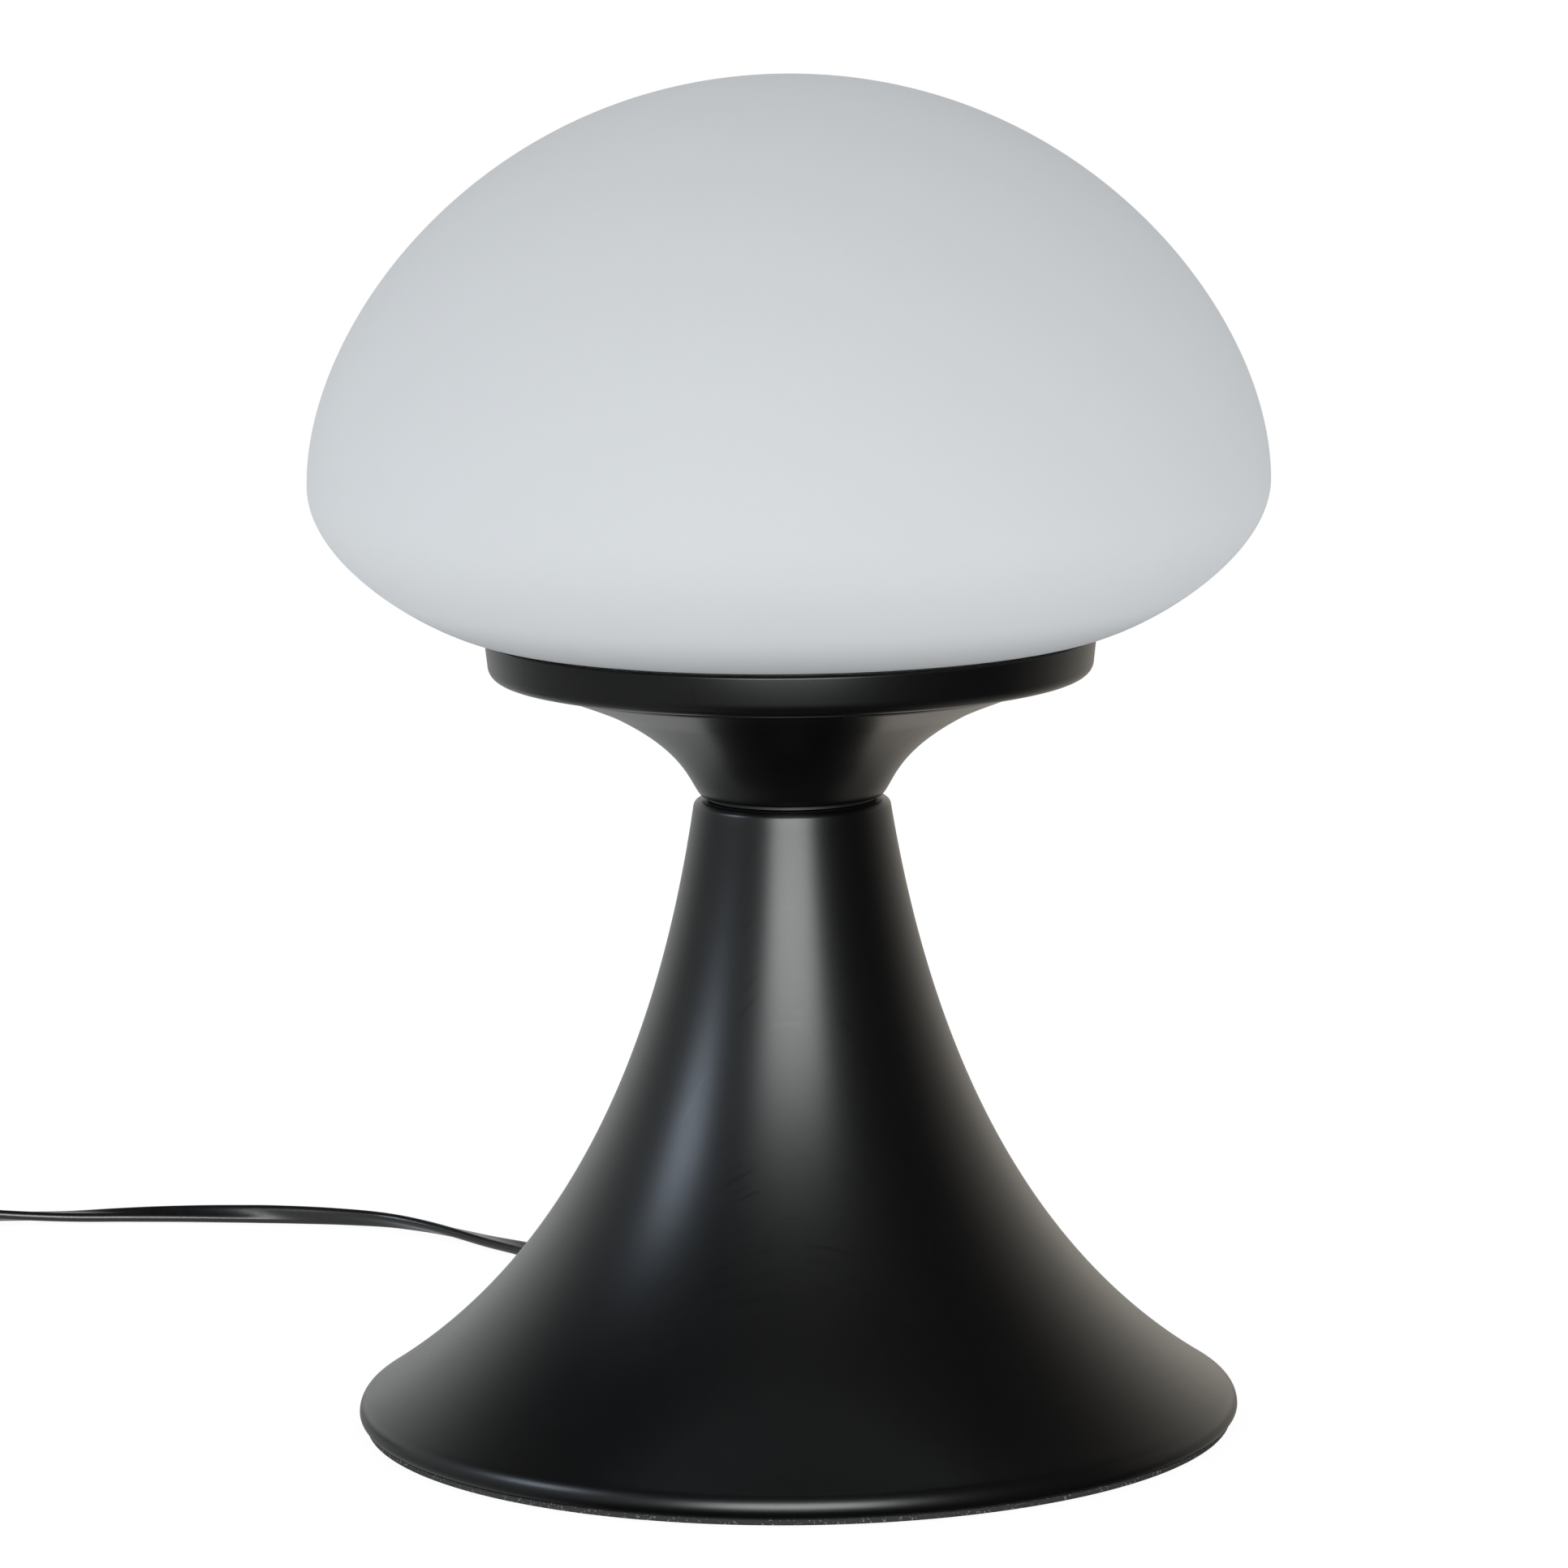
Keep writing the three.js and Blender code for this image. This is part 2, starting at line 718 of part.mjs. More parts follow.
const hatTop = collarFloor + clearance + hatHeight;
const hatPath = chain(
  [point(hatHole, hatTop)],
  arc(point(hatRadius - carrierBend, hatTop - carrierBend), carrierBend, quarterTurn, 0, 2),
  [point(hatRadius, collarFloor + clearance + carrierWall)],
  [point(carrierRadius, collarFloor + clearance + carrierWall)],
);
const boardScrews = around(boardScrewCount);
const boardHoles = boardScrews.map((angle) =>
  hole(screwRadius + clearance, hatTop - hatHeight / 2, hatTop + hatHeight, boardScrewCircle * Math.cos(angle)),
);
const carrierSheet = sheet(hatPath.reverse(), carrierWall);
add("led_carrier", cut(revolve(carrierSheet, smallSteps), ...boardHoles, ...carrierHoles), aluminium);

const boardBottom = hatTop + clearance;
const chips = chipRingShares.flatMap((share, k) =>
  around(chipRingCounts[k], quarterTurn).map((angle) =>
    box(chipSize, chipSize, boardThickness - sink, boardThickness + chipThickness)
      .translate(share * boardRadius, 0, 0)
      .rotateZ(angle),
  ),
);
const bareBoard = disc(boardRadius, 0, boardThickness, smallSteps);
const boardCuts = boardScrews.map((angle) =>
  hole(screwRadius + clearance, -overrun, boardThickness + overrun, boardScrewCircle * Math.cos(angle)),
);
add("led_board", cut(join(bareBoard, ...chips), ...boardCuts), boardWhite, boardBottom);

function addScrews(stem, angles, circle, seat) {
  angles.forEach((angle, i) => {
    const shape = screw(screwRadius, screwLength, screwHeadRadius, screwHeadThickness);
    const mesh = add(stem + (i + 1), shape, zincSteel, seat + clearance);
    mesh.position.x = circle * Math.cos(angle);
    mesh.position.y = circle * Math.sin(angle);
  });
}
addScrews("carrier_screw_", carrierScrews, carrierScrewCircle, collarFloor + clearance + carrierWall);
addScrews("board_screw_", boardScrews, boardScrewCircle, boardBottom + boardThickness);

// Touch dimmer: tape, tray, circuit board and lid

const tapeBottom = weightTop + clearance;
const trayBottom = tapeBottom + tapeThickness + clearance;
const insideLength = moduleLength - 2 * trayWall;
const insideWidth = moduleWidth - 2 * trayWall;
const cavity = roundedRectangle(insideLength, insideWidth, trayRound - trayWall);
const trayShell = cut(
  prism(roundedRectangle(moduleLength, moduleWidth, trayRound), 0, trayHeight),
  prism(cavity, trayWall, trayHeight + overrun),
);
const ribs = [-1, 1].map((side) =>
  box(ribWidth + sink, insideWidth + sink, trayWall - sink, trayWall + ribHeight).translate(
    (side * (insideLength - ribWidth)) / 2,
    0,
    0,
  ),
);
const moduleTape = box(moduleLength - 2 * tapeInset, moduleWidth - 2 * tapeInset, 0, tapeThickness);
const lidBottom = trayBottom + trayHeight + clearance;
const lidPlate = prism(roundedRectangle(moduleLength, moduleWidth, trayRound), 0, lidThickness);
const lidLip = box(
  insideLength - 2 * clearance - 2 * trayRound,
  insideWidth - 2 * clearance,
  -lidLipDepth,
  sink,
);
const partsTop = trayHeight - lidLipDepth - clearance;
const circuitBottom = trayBottom + trayWall + ribHeight + clearance;
const circuitRoom = partsTop - trayWall - ribHeight - clearance - boardThickness;
const circuitLength = insideLength - 2 * clearance;
const circuitWidth = insideWidth - 2 * clearance;
const circuit = join(
  prism(roundedRectangle(circuitLength, circuitWidth, trayRound - trayWall), 0, boardThickness),
  disc(canRadius, -sink, Math.min(canHeight, circuitRoom), screwSteps).translate(
    canPlaceShares[0] * insideLength,
    canPlaceShares[1] * insideWidth,
    boardThickness,
  ),
  box(chipSizeShares[0] * insideLength, chipSizeShares[1] * insideWidth, -sink, chipHeight).translate(
    0,
    0,
    boardThickness,
  ),
  box(
    blockSizeShares[0] * insideLength,
    blockSizeShares[1] * insideWidth,
    -sink,
    Math.min(blockHeight, circuitRoom),
  ).translate(blockPlaceShare * insideLength, 0, boardThickness),
);
const moduleGroup = new THREE.Group();
moduleGroup.position.y = -moduleDistance;
stand.add(moduleGroup);
add("module_tape", moduleTape, darkFoam, tapeBottom, moduleGroup);
add("module_tray", join(trayShell, ...ribs), greyPlastic, trayBottom, moduleGroup);
add("module_board", circuit, boardGreen, circuitBottom, moduleGroup);
add("module_lid", join(lidPlate, lidLip), greyPlastic, lidBottom, moduleGroup);

// Wires inside the lamp

const moduleNear = clearance + moduleWidth / 2 - moduleDistance;
const wireLevel = trayBottom + trayHeight / 2;
const barrelEnd = terminalBottom - barrelLength - clearance;
const wireSpread = wireSpreadShare * moduleLength;
const wiresMeet = wireRiseShare * (wireLevel + shellTop);
const sensorRoute = [
  new THREE.Vector3(wireSpread, moduleNear, wireLevel),
  new THREE.Vector3(wireSpread, moduleNear + trayHeight / 2, wireLevel),
  new THREE.Vector3(0, -(terminalReach + nutAcross) / 2, wiresMeet),
  new THREE.Vector3(0, -terminalReach, barrelEnd - 2 * barrelLength),
  new THREE.Vector3(0, -terminalReach, barrelEnd),
];
add("sensor_wire", tube(sensorRoute, circleShape(wireRadius, wireSides), 22), redVinyl);

const lightRoute = [
  new THREE.Vector3(-wireSpread, moduleNear, wireLevel),
  new THREE.Vector3(-wireSpread, moduleNear + trayHeight / 2, wireLevel),
  new THREE.Vector3(-nippleRadius, -nutAcross / 2, wiresMeet),
  new THREE.Vector3(0, 0, nippleBottom - 2 * nutAcross),
  new THREE.Vector3(0, 0, nippleBottom),
  new THREE.Vector3(0, 0, (nippleBottom + boardBottom) / 2),
  new THREE.Vector3(0, 0, boardBottom - clearance),
];
add("led_lead", tube(lightRoute, circleShape(lightLeadRadius, wireSides), 30), leadVinyl);

// Flat lead: its section, the bush that it leaves by, and its routes

const leadOutline = [...leadOutlineShares, ...leadOutlineShares.map(([x, y]) => [-x, -y])];
const leadShape = new THREE.Shape(
  leadOutline.map(([x, y]) => point((x * leadWidth) / 2, (y * leadThickness) / 2)),
);

const boreShape = roundedRectangle(
  leadThickness + 2 * clearance,
  leadWidth + 2 * clearance,
  leadThickness / 2,
);
const alongY = (geometry) => geometry.rotateX(-quarterTurn);
const onExit = (geometry) => geometry.translate(0, 0, leadLevel);
function ribbedNose(from, to, startRadius, endRadius, count, depth) {
  const outline = [];
  const pitch = (to - from) / (2 * count);
  for (let i = 0; i <= 2 * count; i++) {
    const radius = startRadius + ((endRadius - startRadius) * i) / (2 * count);
    const waist = i % 2 ? depth : 0;
    outline.push(point(radius - waist, from + pitch * i));
  }
  return [point(0, from), ...outline, point(0, to)];
}
const bushBlank = (outer, from, to) => onExit(alongY(disc(outer, from, to, smallSteps)));
const clearOfShell = offset(outerPath, -clearance);
const outside = [point(0, shellBottom), ...clearOfShell, point(0, shellTop)];
const outsideKeep = revolve(outside).rotateZ(-exitTurn);
const insideLimit = offset(outerPath, shellWall + clearance).filter((p) => p.y < shellTop - shellWall);
const inside = [point(0, insideLimit[0].y), ...insideLimit, point(0, insideLimit.at(-1).y)];
const insideKeep = revolve(inside).rotateZ(-exitTurn);
const bushNose = onExit(
  alongY(
    revolve(
      ribbedNose(
        bushFlangeReach - sink,
        bushReach,
        bushNoseRadius,
        bushTipRadius,
        bushRibCount,
        bushRibDepth,
      ),
      smallSteps,
    ),
  ),
);
const bushBore = onExit(
  alongY(prism(boreShape, bushInnerReach - overrun, bushReach + overrun)),
);
const bush = join(
  bushBlank(bushRadius, bushInnerReach, bushFlangeReach),
  cut(bushBlank(bushFlangeRadius, bushInnerReach, bushFlangeReach), outsideKeep),
  common(
    bushBlank(bushInnerFlangeRadius, bushInnerReach, bushFlangeReach),
    insideKeep,
  ),
  bushNose,
);
add("cord_bush", cut(bush, bushBore), blackRubber, 0, exit);

const exitPoint = (reach, z = leadLevel) =>
  new THREE.Vector3(-reach * Math.sin(exitTurn), reach * Math.cos(exitTurn), z);
const leadJoint = footRadius - padInset; // where the inner lead meets the free cord, inside the bush
const supplyRoute = [
  exitPoint(leadJoint),
  exitPoint(bushInnerReach),
  exitPoint(bushInnerReach - leadWidth),
  exitPoint(weightRadius - leadWidth),
  new THREE.Vector3(leadClipX, weightRadius / 2, leadLevel),
  new THREE.Vector3(leadClipX, leadClipWidth, leadLevel),
  new THREE.Vector3(leadClipX, -leadClipWidth, leadLevel),
  new THREE.Vector3(leadClipX, -moduleDistance / 2, leadLevel + 2 * clearance),
  new THREE.Vector3(
    -moduleLength / 2 - supplyBendWidths * leadWidth,
    supplyEntryShare * moduleWidth - moduleDistance,
    wireLevel,
  ),
  new THREE.Vector3(-moduleLength / 2 - leadWidth, -moduleDistance, wireLevel),
  new THREE.Vector3(-moduleLength / 2 - clearance, -moduleDistance, wireLevel),
];
add("supply_lead", tube(supplyRoute, leadShape, 34), leadVinyl);

// Clip over the lead: an arch of strip with one tab screwed to the weight

const clipRoom = leadThickness / 2 + clearance;
const archTop = leadWidth + 2 * clearance;
const archPath = [
  point(leadClipTab + leadClipTab / 2, 0),
  point(clipRoom, 0),
  point(clipRoom, archTop),
  point(-clipRoom, archTop),
  point(-clipRoom, 0),
];
const archShape = new THREE.Shape(sheet(archPath, -leadClipThickness));
const archHole = hole(screwRadius + clearance, -overrun, leadClipThickness + overrun, leadClipTab);
const arch = prism(archShape, -leadClipWidth / 2, leadClipWidth / 2).rotateX(quarterTurn);
const clipSeat = weightTop + clearance;
const leadClip = add("lead_clip", cut(arch, archHole), zincSteel, clipSeat);
leadClip.position.x = leadClipX;
const leadClipScrew = add(
  "lead_clip_screw",
  screw(screwRadius, screwLength, screwHeadRadius, screwHeadThickness),
  zincSteel,
  clipSeat + leadClipThickness + clearance,
);
leadClipScrew.position.x = leadClipX + leadClipTab;

// Coil: two layers that spiral in and out again, and climb where the spiral reverses

const coilBottom = tieThickness + clearance;
const coilLowLevel = coilBottom + leadWidth / 2;
const coilClimb = leadWidth + coilLayerGap;
const coilHighLevel = coilLowLevel + coilClimb;
const coilFirstAngle = quarterTurn;
const coilTrack = [];
for (let i = 0; i <= coilTurns * coilStepsPerTurn; i++) {
  const turn = i / coilStepsPerTurn;
  const fromMiddle = turn - coilTurns / 2;
  coilTrack.push({
    angle: coilFirstAngle + turn * 2 * halfTurn,
    radius: coilRadius - coilPitch * (coilTurns / 2 - Math.abs(fromMiddle)),
    level: coilLowLevel + coilClimb * THREE.MathUtils.smoothstep(fromMiddle, -coilClimbTurns, coilClimbTurns),
  });
}
const coilCentre = new THREE.Vector3(coilCentreX, coilCentreY, 0);
const outwards = (angle) => new THREE.Vector3(Math.cos(angle), Math.sin(angle), 0);
const forwards = (angle) => new THREE.Vector3(-Math.sin(angle), Math.cos(angle), 0);
const coilStations = coilTrack.map(({ angle, radius, level }) => ({
  at: coilCentre.clone().addScaledVector(outwards(angle), radius).setZ(level),
  out: outwards(angle),
}));
const coilStart = coilStations[0].at
  .clone()
  .addScaledVector(forwards(coilTrack[0].angle), -coilLeadIn);
const coilEnd = coilStations
  .at(-1)
  .at.clone()
  .addScaledVector(forwards(coilTrack.at(-1).angle), coilLeadOut);
coilStations.unshift({ at: coilStart, out: coilStations[0].out });
coilStations.push({ at: coilEnd, out: coilStations.at(-1).out });

const halfThick = leadThickness / 2;
const halfWide = leadWidth / 2;
const flatHalf = coilFlatShare * halfWide;
const coilSection = [
  point(halfThick, -flatHalf),
  point(halfThick, flatHalf),
  point(0, halfWide),
  point(-halfThick, flatHalf),
  point(-halfThick, -flatHalf),
  point(0, -halfWide),
];

function sweepStations(stations, section) {
  const sides = section.length;
  const positions = stations.flatMap(({ at, out }) =>
    section.flatMap((p) => [at.x + out.x * p.x, at.y + out.y * p.x, at.z + p.y]),
  );
  const corners = [];
  for (let i = 0; i + 1 < stations.length; i++) {
    for (let k = 0; k < sides; k++) {
      const [p, q] = [i * sides + k, i * sides + ((k + 1) % sides)];
      corners.push(p, q + sides, q, p, p + sides, q + sides);
    }
  }
  const last = (stations.length - 1) * sides;
  for (let k = 1; k + 1 < sides; k++) {
    corners.push(0, k, k + 1, last, last + k + 1, last + k);
  }
  const geometry = new THREE.BufferGeometry();
  geometry.setAttribute("position", new THREE.Float32BufferAttribute(positions, 3));
  geometry.setIndex(corners);
  geometry.computeVertexNormals();
  return geometry;
}
add("cord_coil", sweepStations(coilStations, coilSection), leadVinyl);

// Least distance between two turns, over the sections that lie in one radial plane
function leastGap(track, section) {
  const placed = track.map(({ radius, level }) => section.map((p) => point(p.x + radius, p.y + level)));
  const sides = section.length;
  let least = Infinity;
  for (let i = 0; i < placed.length; i++) {
    for (let j = i % coilStepsPerTurn; j < placed.length; j += coilStepsPerTurn) {
      if (j === i) continue;
      for (const p of placed[i]) {
        for (let k = 0; k < sides; k++) {
          const [a, b] = [placed[j][k], placed[j][(k + 1) % sides]];
          const edge = b.clone().sub(a);
          const along = THREE.MathUtils.clamp(p.clone().sub(a).dot(edge) / edge.lengthSq(), 0, 1);
          least = Math.min(least, p.distanceTo(a.clone().addScaledVector(edge, along)));
        }
      }
    }
  }
  return least;
}
console.log("least gap of the coil to itself: " + leastGap(coilTrack, coilSection).toFixed(2) + " mm");

// Tie round the coil's bundle

const tieTrack = coilTrack.filter(({ angle }) => {
  const away = Math.abs(Math.sin((angle - tieAngle) / 2));
  return away < Math.sin(halfTurn / coilStepsPerTurn / 2);
});
const bundleInner = Math.min(...tieTrack.map(({ radius }) => radius)) - halfThick - tieSlack;
const bundleOuter = Math.max(...tieTrack.map(({ radius }) => radius)) + halfThick + clearance;
const bundleHeight = coilHighLevel - coilLowLevel + leadWidth + 2 * clearance;
const tieShape = roundedRectangle(
  bundleOuter - bundleInner + 2 * tieThickness,
  bundleHeight + 2 * tieThickness,
  leadThickness,
);
tieShape.holes.push(
  roundedRectangle(bundleOuter - bundleInner, bundleHeight, leadThickness - tieThickness),
);
const tieStrip = prism(tieShape, -tieWidth / 2, tieWidth / 2).rotateX(quarterTurn);
tieStrip.translate((bundleOuter + bundleInner) / 2, 0, 0).rotateZ(tieAngle);
const tie = add("coil_tie", tieStrip, greyRubber, tieThickness + bundleHeight / 2);
tie.position.x = coilCentreX;
tie.position.y = coilCentreY;

// Free stretch of the lead: out of the bush, down to the table and round to the coil

const tableLevel = leadWidth / 2 + clearance;
const freeRoute = [
  exitPoint(leadJoint + clearance),
  exitPoint((leadJoint + bushReach) / 2),
  exitPoint(bushReach),
  exitPoint(bushReach + leadThickness),
  ...leadDescent.map(([x, y, z]) => new THREE.Vector3(x, y, z)),
  ...leadOnTable.map(([x, y]) => new THREE.Vector3(x, y, tableLevel)),
  coilStart.clone().add(new THREE.Vector3(coilApproach, 0, tableLevel - coilStart.z)),
  coilStart.clone().add(new THREE.Vector3(leadThickness, 0, 0)),
  coilStart.clone().add(new THREE.Vector3(clearance, 0, 0)),
];
add("cord_free", tube(freeRoute, leadShape, 34), leadVinyl);

// Wall adapter, lying on its back with its blades up

const relief = coilEnd.clone().addScaledVector(forwards(coilTrack.at(-1).angle), clearance);
const adapter = new THREE.Group();
adapter.position.copy(relief).setZ(0);
adapter.rotation.z = coilTrack.at(-1).angle;
stand.add(adapter);

const reliefOutline = ribbedNose(
  0,
  reliefLength,
  reliefTipRadius,
  reliefRadius,
  reliefRibCount,
  reliefRibDepth,
);
add("adapter_relief", alongY(revolve(reliefOutline, smallSteps)), blackRubber, relief.z, adapter);

const caseStart = reliefLength + clearance;
const caseMiddle = caseStart + adapterLength / 2;
const blank = new THREE.ExtrudeGeometry(
  roundedRectangle(adapterWidth - 2 * adapterEdge, adapterLength - 2 * adapterEdge, adapterRound - adapterEdge),
  {
    depth: adapterHeight - 2 * adapterEdge,
    bevelSize: adapterEdge,
    bevelThickness: adapterEdge,
    bevelSegments: 2,
    curveSegments: 3,
  },
).translate(0, caseMiddle, adapterEdge);
const half = (bottom, top) =>
  box(adapterWidth + overrun, adapterLength + overrun, bottom, top).translate(0, caseMiddle, 0);
const bladeSides = [-1, 1];
const bladeBottom = adapterHeight - bladeRoot;
const slots = bladeSides.map((side) =>
  box(
    bladeThickness + 2 * clearance,
    bladeWidth + 2 * clearance,
    bladeBottom - clearance,
    adapterHeight + overrun,
  ).translate((side * bladeSpacing) / 2, caseMiddle, 0),
);
add("adapter_cover", common(blank, half(-overrun, adapterSplit)), blackPlastic, 0, adapter);
const upperHalf = common(blank, half(adapterSplit + clearance, adapterHeight + overrun));
add("adapter_case", cut(upperHalf, ...slots), blackPlastic, 0, adapter);

// A blade is cut from strip: its outline is seen from the side, with cut corners and a hole.
const bladeTop = bladeRoot + bladeLength;
const bladeShape = new THREE.Shape([
  point(bladeWidth / 2, 0),
  point(bladeWidth / 2, bladeTop - bladeTip),
  point(bladeWidth / 2 - bladeTip, bladeTop),
  point(bladeTip - bladeWidth / 2, bladeTop),
  point(-bladeWidth / 2, bladeTop - bladeTip),
  point(-bladeWidth / 2, 0),
]);
const bladeEye = new THREE.Path();
bladeEye.absarc(0, bladeTop - 2 * bladeHole, bladeHole, 0, 2 * halfTurn, true);
bladeShape.holes.push(bladeEye);
bladeSides.forEach((side, i) => {
  const blade = prism(bladeShape, -bladeThickness / 2, bladeThickness / 2);
  blade.rotateX(quarterTurn).rotateZ(quarterTurn);
  const mesh = add("adapter_blade_" + (i + 1), blade, brass, bladeBottom, adapter);
  mesh.position.x = (side * bladeSpacing) / 2;
  mesh.position.y = caseMiddle;
});

export default lamp;
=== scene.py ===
import json
import math

import bmesh
import bpy
import numpy as np
from mathutils import Matrix, Vector


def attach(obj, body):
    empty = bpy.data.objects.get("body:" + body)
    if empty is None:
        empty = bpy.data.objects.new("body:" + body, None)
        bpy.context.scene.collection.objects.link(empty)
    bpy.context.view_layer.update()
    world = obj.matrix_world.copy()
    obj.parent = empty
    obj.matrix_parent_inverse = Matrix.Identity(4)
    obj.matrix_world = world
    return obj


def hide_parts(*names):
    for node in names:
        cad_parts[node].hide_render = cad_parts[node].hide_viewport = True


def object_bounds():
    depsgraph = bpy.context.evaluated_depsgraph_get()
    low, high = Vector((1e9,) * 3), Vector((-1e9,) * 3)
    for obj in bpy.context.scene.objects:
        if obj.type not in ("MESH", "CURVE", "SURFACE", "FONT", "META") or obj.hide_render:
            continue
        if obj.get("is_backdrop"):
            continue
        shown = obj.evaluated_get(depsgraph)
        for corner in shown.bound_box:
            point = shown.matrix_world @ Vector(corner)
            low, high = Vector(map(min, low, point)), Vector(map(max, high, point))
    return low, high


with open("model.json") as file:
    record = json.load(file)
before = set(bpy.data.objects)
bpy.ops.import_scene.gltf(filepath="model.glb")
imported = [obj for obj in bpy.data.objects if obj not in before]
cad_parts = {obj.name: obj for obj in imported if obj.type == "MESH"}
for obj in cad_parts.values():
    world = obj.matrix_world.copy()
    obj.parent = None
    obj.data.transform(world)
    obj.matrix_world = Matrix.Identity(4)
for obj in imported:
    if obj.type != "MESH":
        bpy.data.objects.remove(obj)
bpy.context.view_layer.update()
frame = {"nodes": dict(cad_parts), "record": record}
nodes = frame["nodes"]
mm = 0.001
quarter = math.pi / 2
samePoint = 1e-4  # millimetres
onAxis = 1e-6
sliver = 0.002 * mm
print("frame loaded:", len(nodes), "nodes")


# Paths are lists of (radius, height) points, and sizes in the dictionaries are in millimetres.

def unit(vector):
    return vector / np.linalg.norm(vector)


def polar(centre, radius, angle):
    return np.array([centre[0] + radius * math.cos(angle), centre[1] + radius * math.sin(angle)])


def arcPoints(centre, radius, first, last, steps):
    return [polar(centre, radius, a) for a in np.linspace(first, last, steps + 1)]


def bezierPoints(a, b, c, d, steps):
    a, b, c, d = (np.array(p, float) for p in (a, b, c, d))
    return [
        (1 - t) ** 3 * a + 3 * (1 - t) ** 2 * t * b + 3 * (1 - t) * t * t * c + t ** 3 * d
        for t in np.linspace(0, 1, steps + 1)
    ]


def chain(*parts):
    # parts joined into one path, without repeated points
    points = []
    for p in (np.array(q, float) for part in parts for q in part):
        if not points or np.linalg.norm(p - points[-1]) > samePoint:
            points.append(p)
    return points


def offsetPath(path, depth):
    moved = []
    for i, p in enumerate(path):
        before, after = path[max(i - 1, 0)], path[min(i + 1, len(path) - 1)]
        into = unit(p - before if i else after - p)
        out = unit(after - p if i < len(path) - 1 else into)
        left = np.array([-into[1] - out[1], into[0] + out[0]])
        moved.append(p + left * depth / (1 + into @ out))
    return moved


def sheetLoop(path, wall, edgeSteps=1):
    # a path thickened to its left into a closed loop, with a rounded edge at its end
    inner = offsetPath(path, wall)
    if path[-1][0] == 0:
        inner[-1][0] = 0
    middle = (path[-1] + inner[-1]) / 2
    toOuter = path[-1] - middle
    angle = math.atan2(toOuter[1], toOuter[0])
    edge = arcPoints(middle, np.linalg.norm(toOuter), angle, angle + math.pi, edgeSteps)
    return path + edge[1:-1] + inner[::-1]


# Pieces from points, and what is done to their meshes

def addObject(name, data):
    made = bpy.data.objects.new(name, data)
    bpy.context.scene.collection.objects.link(made)
    return made


def smoothShaded(piece, sharp):
    piece.data.shade_smooth()
    piece.data.set_sharp_from_angle(angle=math.radians(sharp))
    return piece


def newPiece(name, verts, faces, sharp=35):
    mesh = bpy.data.meshes.new(name)
    mesh.from_pydata([tuple(v) for v in verts], [], faces)
    mesh.validate()
    return smoothShaded(addObject(name, mesh), sharp)


def pieceFrom(shape, name):
    mesh = bpy.data.meshes.new(name)
    shape.to_mesh(mesh)
    shape.free()
    return addObject(name, mesh)


def editShape(piece, edit):
    shape = bmesh.new()
    shape.from_mesh(piece.data)
    edit(shape)
    shape.to_mesh(piece.data)
    shape.free()
    return piece


def faceOutwards(shape):
    bmesh.ops.recalc_face_normals(shape, faces=shape.faces)


def mergeSlivers(shape):
    bmesh.ops.remove_doubles(shape, verts=shape.verts, dist=sliver)
    bmesh.ops.dissolve_degenerate(shape, edges=shape.edges, dist=sliver)


def joinRings(rings, around):
    # faces from each ring of points to the next, with both ends capped
    faces = []
    for i in range(rings - 1):
        a, b = i * around, (i + 1) * around
        for k in range(around):
            n = (k + 1) % around
            faces.append((a + k, a + n, b + n, b + k))
    last = (rings - 1) * around
    return faces + [tuple(range(around))[::-1], tuple(range(last, last + around))]


def lathe(name, loop, segments=256):
    # a closed (radius, height) loop, anticlockwise, turned about the lamp's axis
    verts, rows = [], []
    for r, z in loop:
        if r < onAxis:
            rows.append([len(verts)] * segments)
            verts.append((0, 0, z * mm))
            continue
        rows.append(list(range(len(verts), len(verts) + segments)))
        for a in np.linspace(0, 2 * math.pi, segments, endpoint=False):
            verts.append((r * mm * math.cos(a), r * mm * math.sin(a), z * mm))
    faces = []
    for row, following in zip(rows, rows[1:] + rows[:1]):
        if row[0] == row[1] and following[0] == following[1]:
            continue
        for k in range(segments):
            n = (k + 1) % segments
            faces.append(tuple(dict.fromkeys((row[k], row[n], following[n], following[k]))))
    return newPiece(name, verts, faces)


def applyModifiers(piece):
    bpy.context.view_layer.update()
    evaluated = piece.evaluated_get(bpy.context.evaluated_depsgraph_get())
    made = bpy.data.meshes.new_from_object(evaluated)
    piece.modifiers.clear()
    piece.data = made
    return piece


def cutWith(piece, cutter):
    boolean = piece.modifiers.new("cut", "BOOLEAN")
    boolean.operation = "DIFFERENCE"
    boolean.solver = "EXACT"
    boolean.object = cutter
    applyModifiers(piece)
    bpy.data.objects.remove(cutter)
    return editShape(piece, mergeSlivers)


def addDrill(shape, radius, depth, matrix, segments=32):
    bmesh.ops.create_cone(
        shape, cap_ends=True, segments=segments, radius1=radius * mm, radius2=radius * mm, depth=depth * mm,
        matrix=matrix)


def ringSpots(look):
    count, first = look["count"], math.radians(look["firstAngle"])
    return [polar((0, 0), look["circle"], first + 2 * math.pi * i / count) for i in range(count)]


def drillHoles(piece, look, low, high):
    # upright holes for a ring of screws
    shape = bmesh.new()
    for x, y in ringSpots(look):
        addDrill(shape, look["hole"], high - low, Matrix.Translation((x * mm, y * mm, (low + high) / 2 * mm)))
    return cutWith(piece, pieceFrom(shape, "holes"))


def place(piece, slot, *stoodFor, body="stand", finish=None):
    piece.data.materials.clear()
    piece.data.materials.append(finishes[finish or slot])
    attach(piece, body)
    if stoodFor:
        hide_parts(*stoodFor)


# Camera

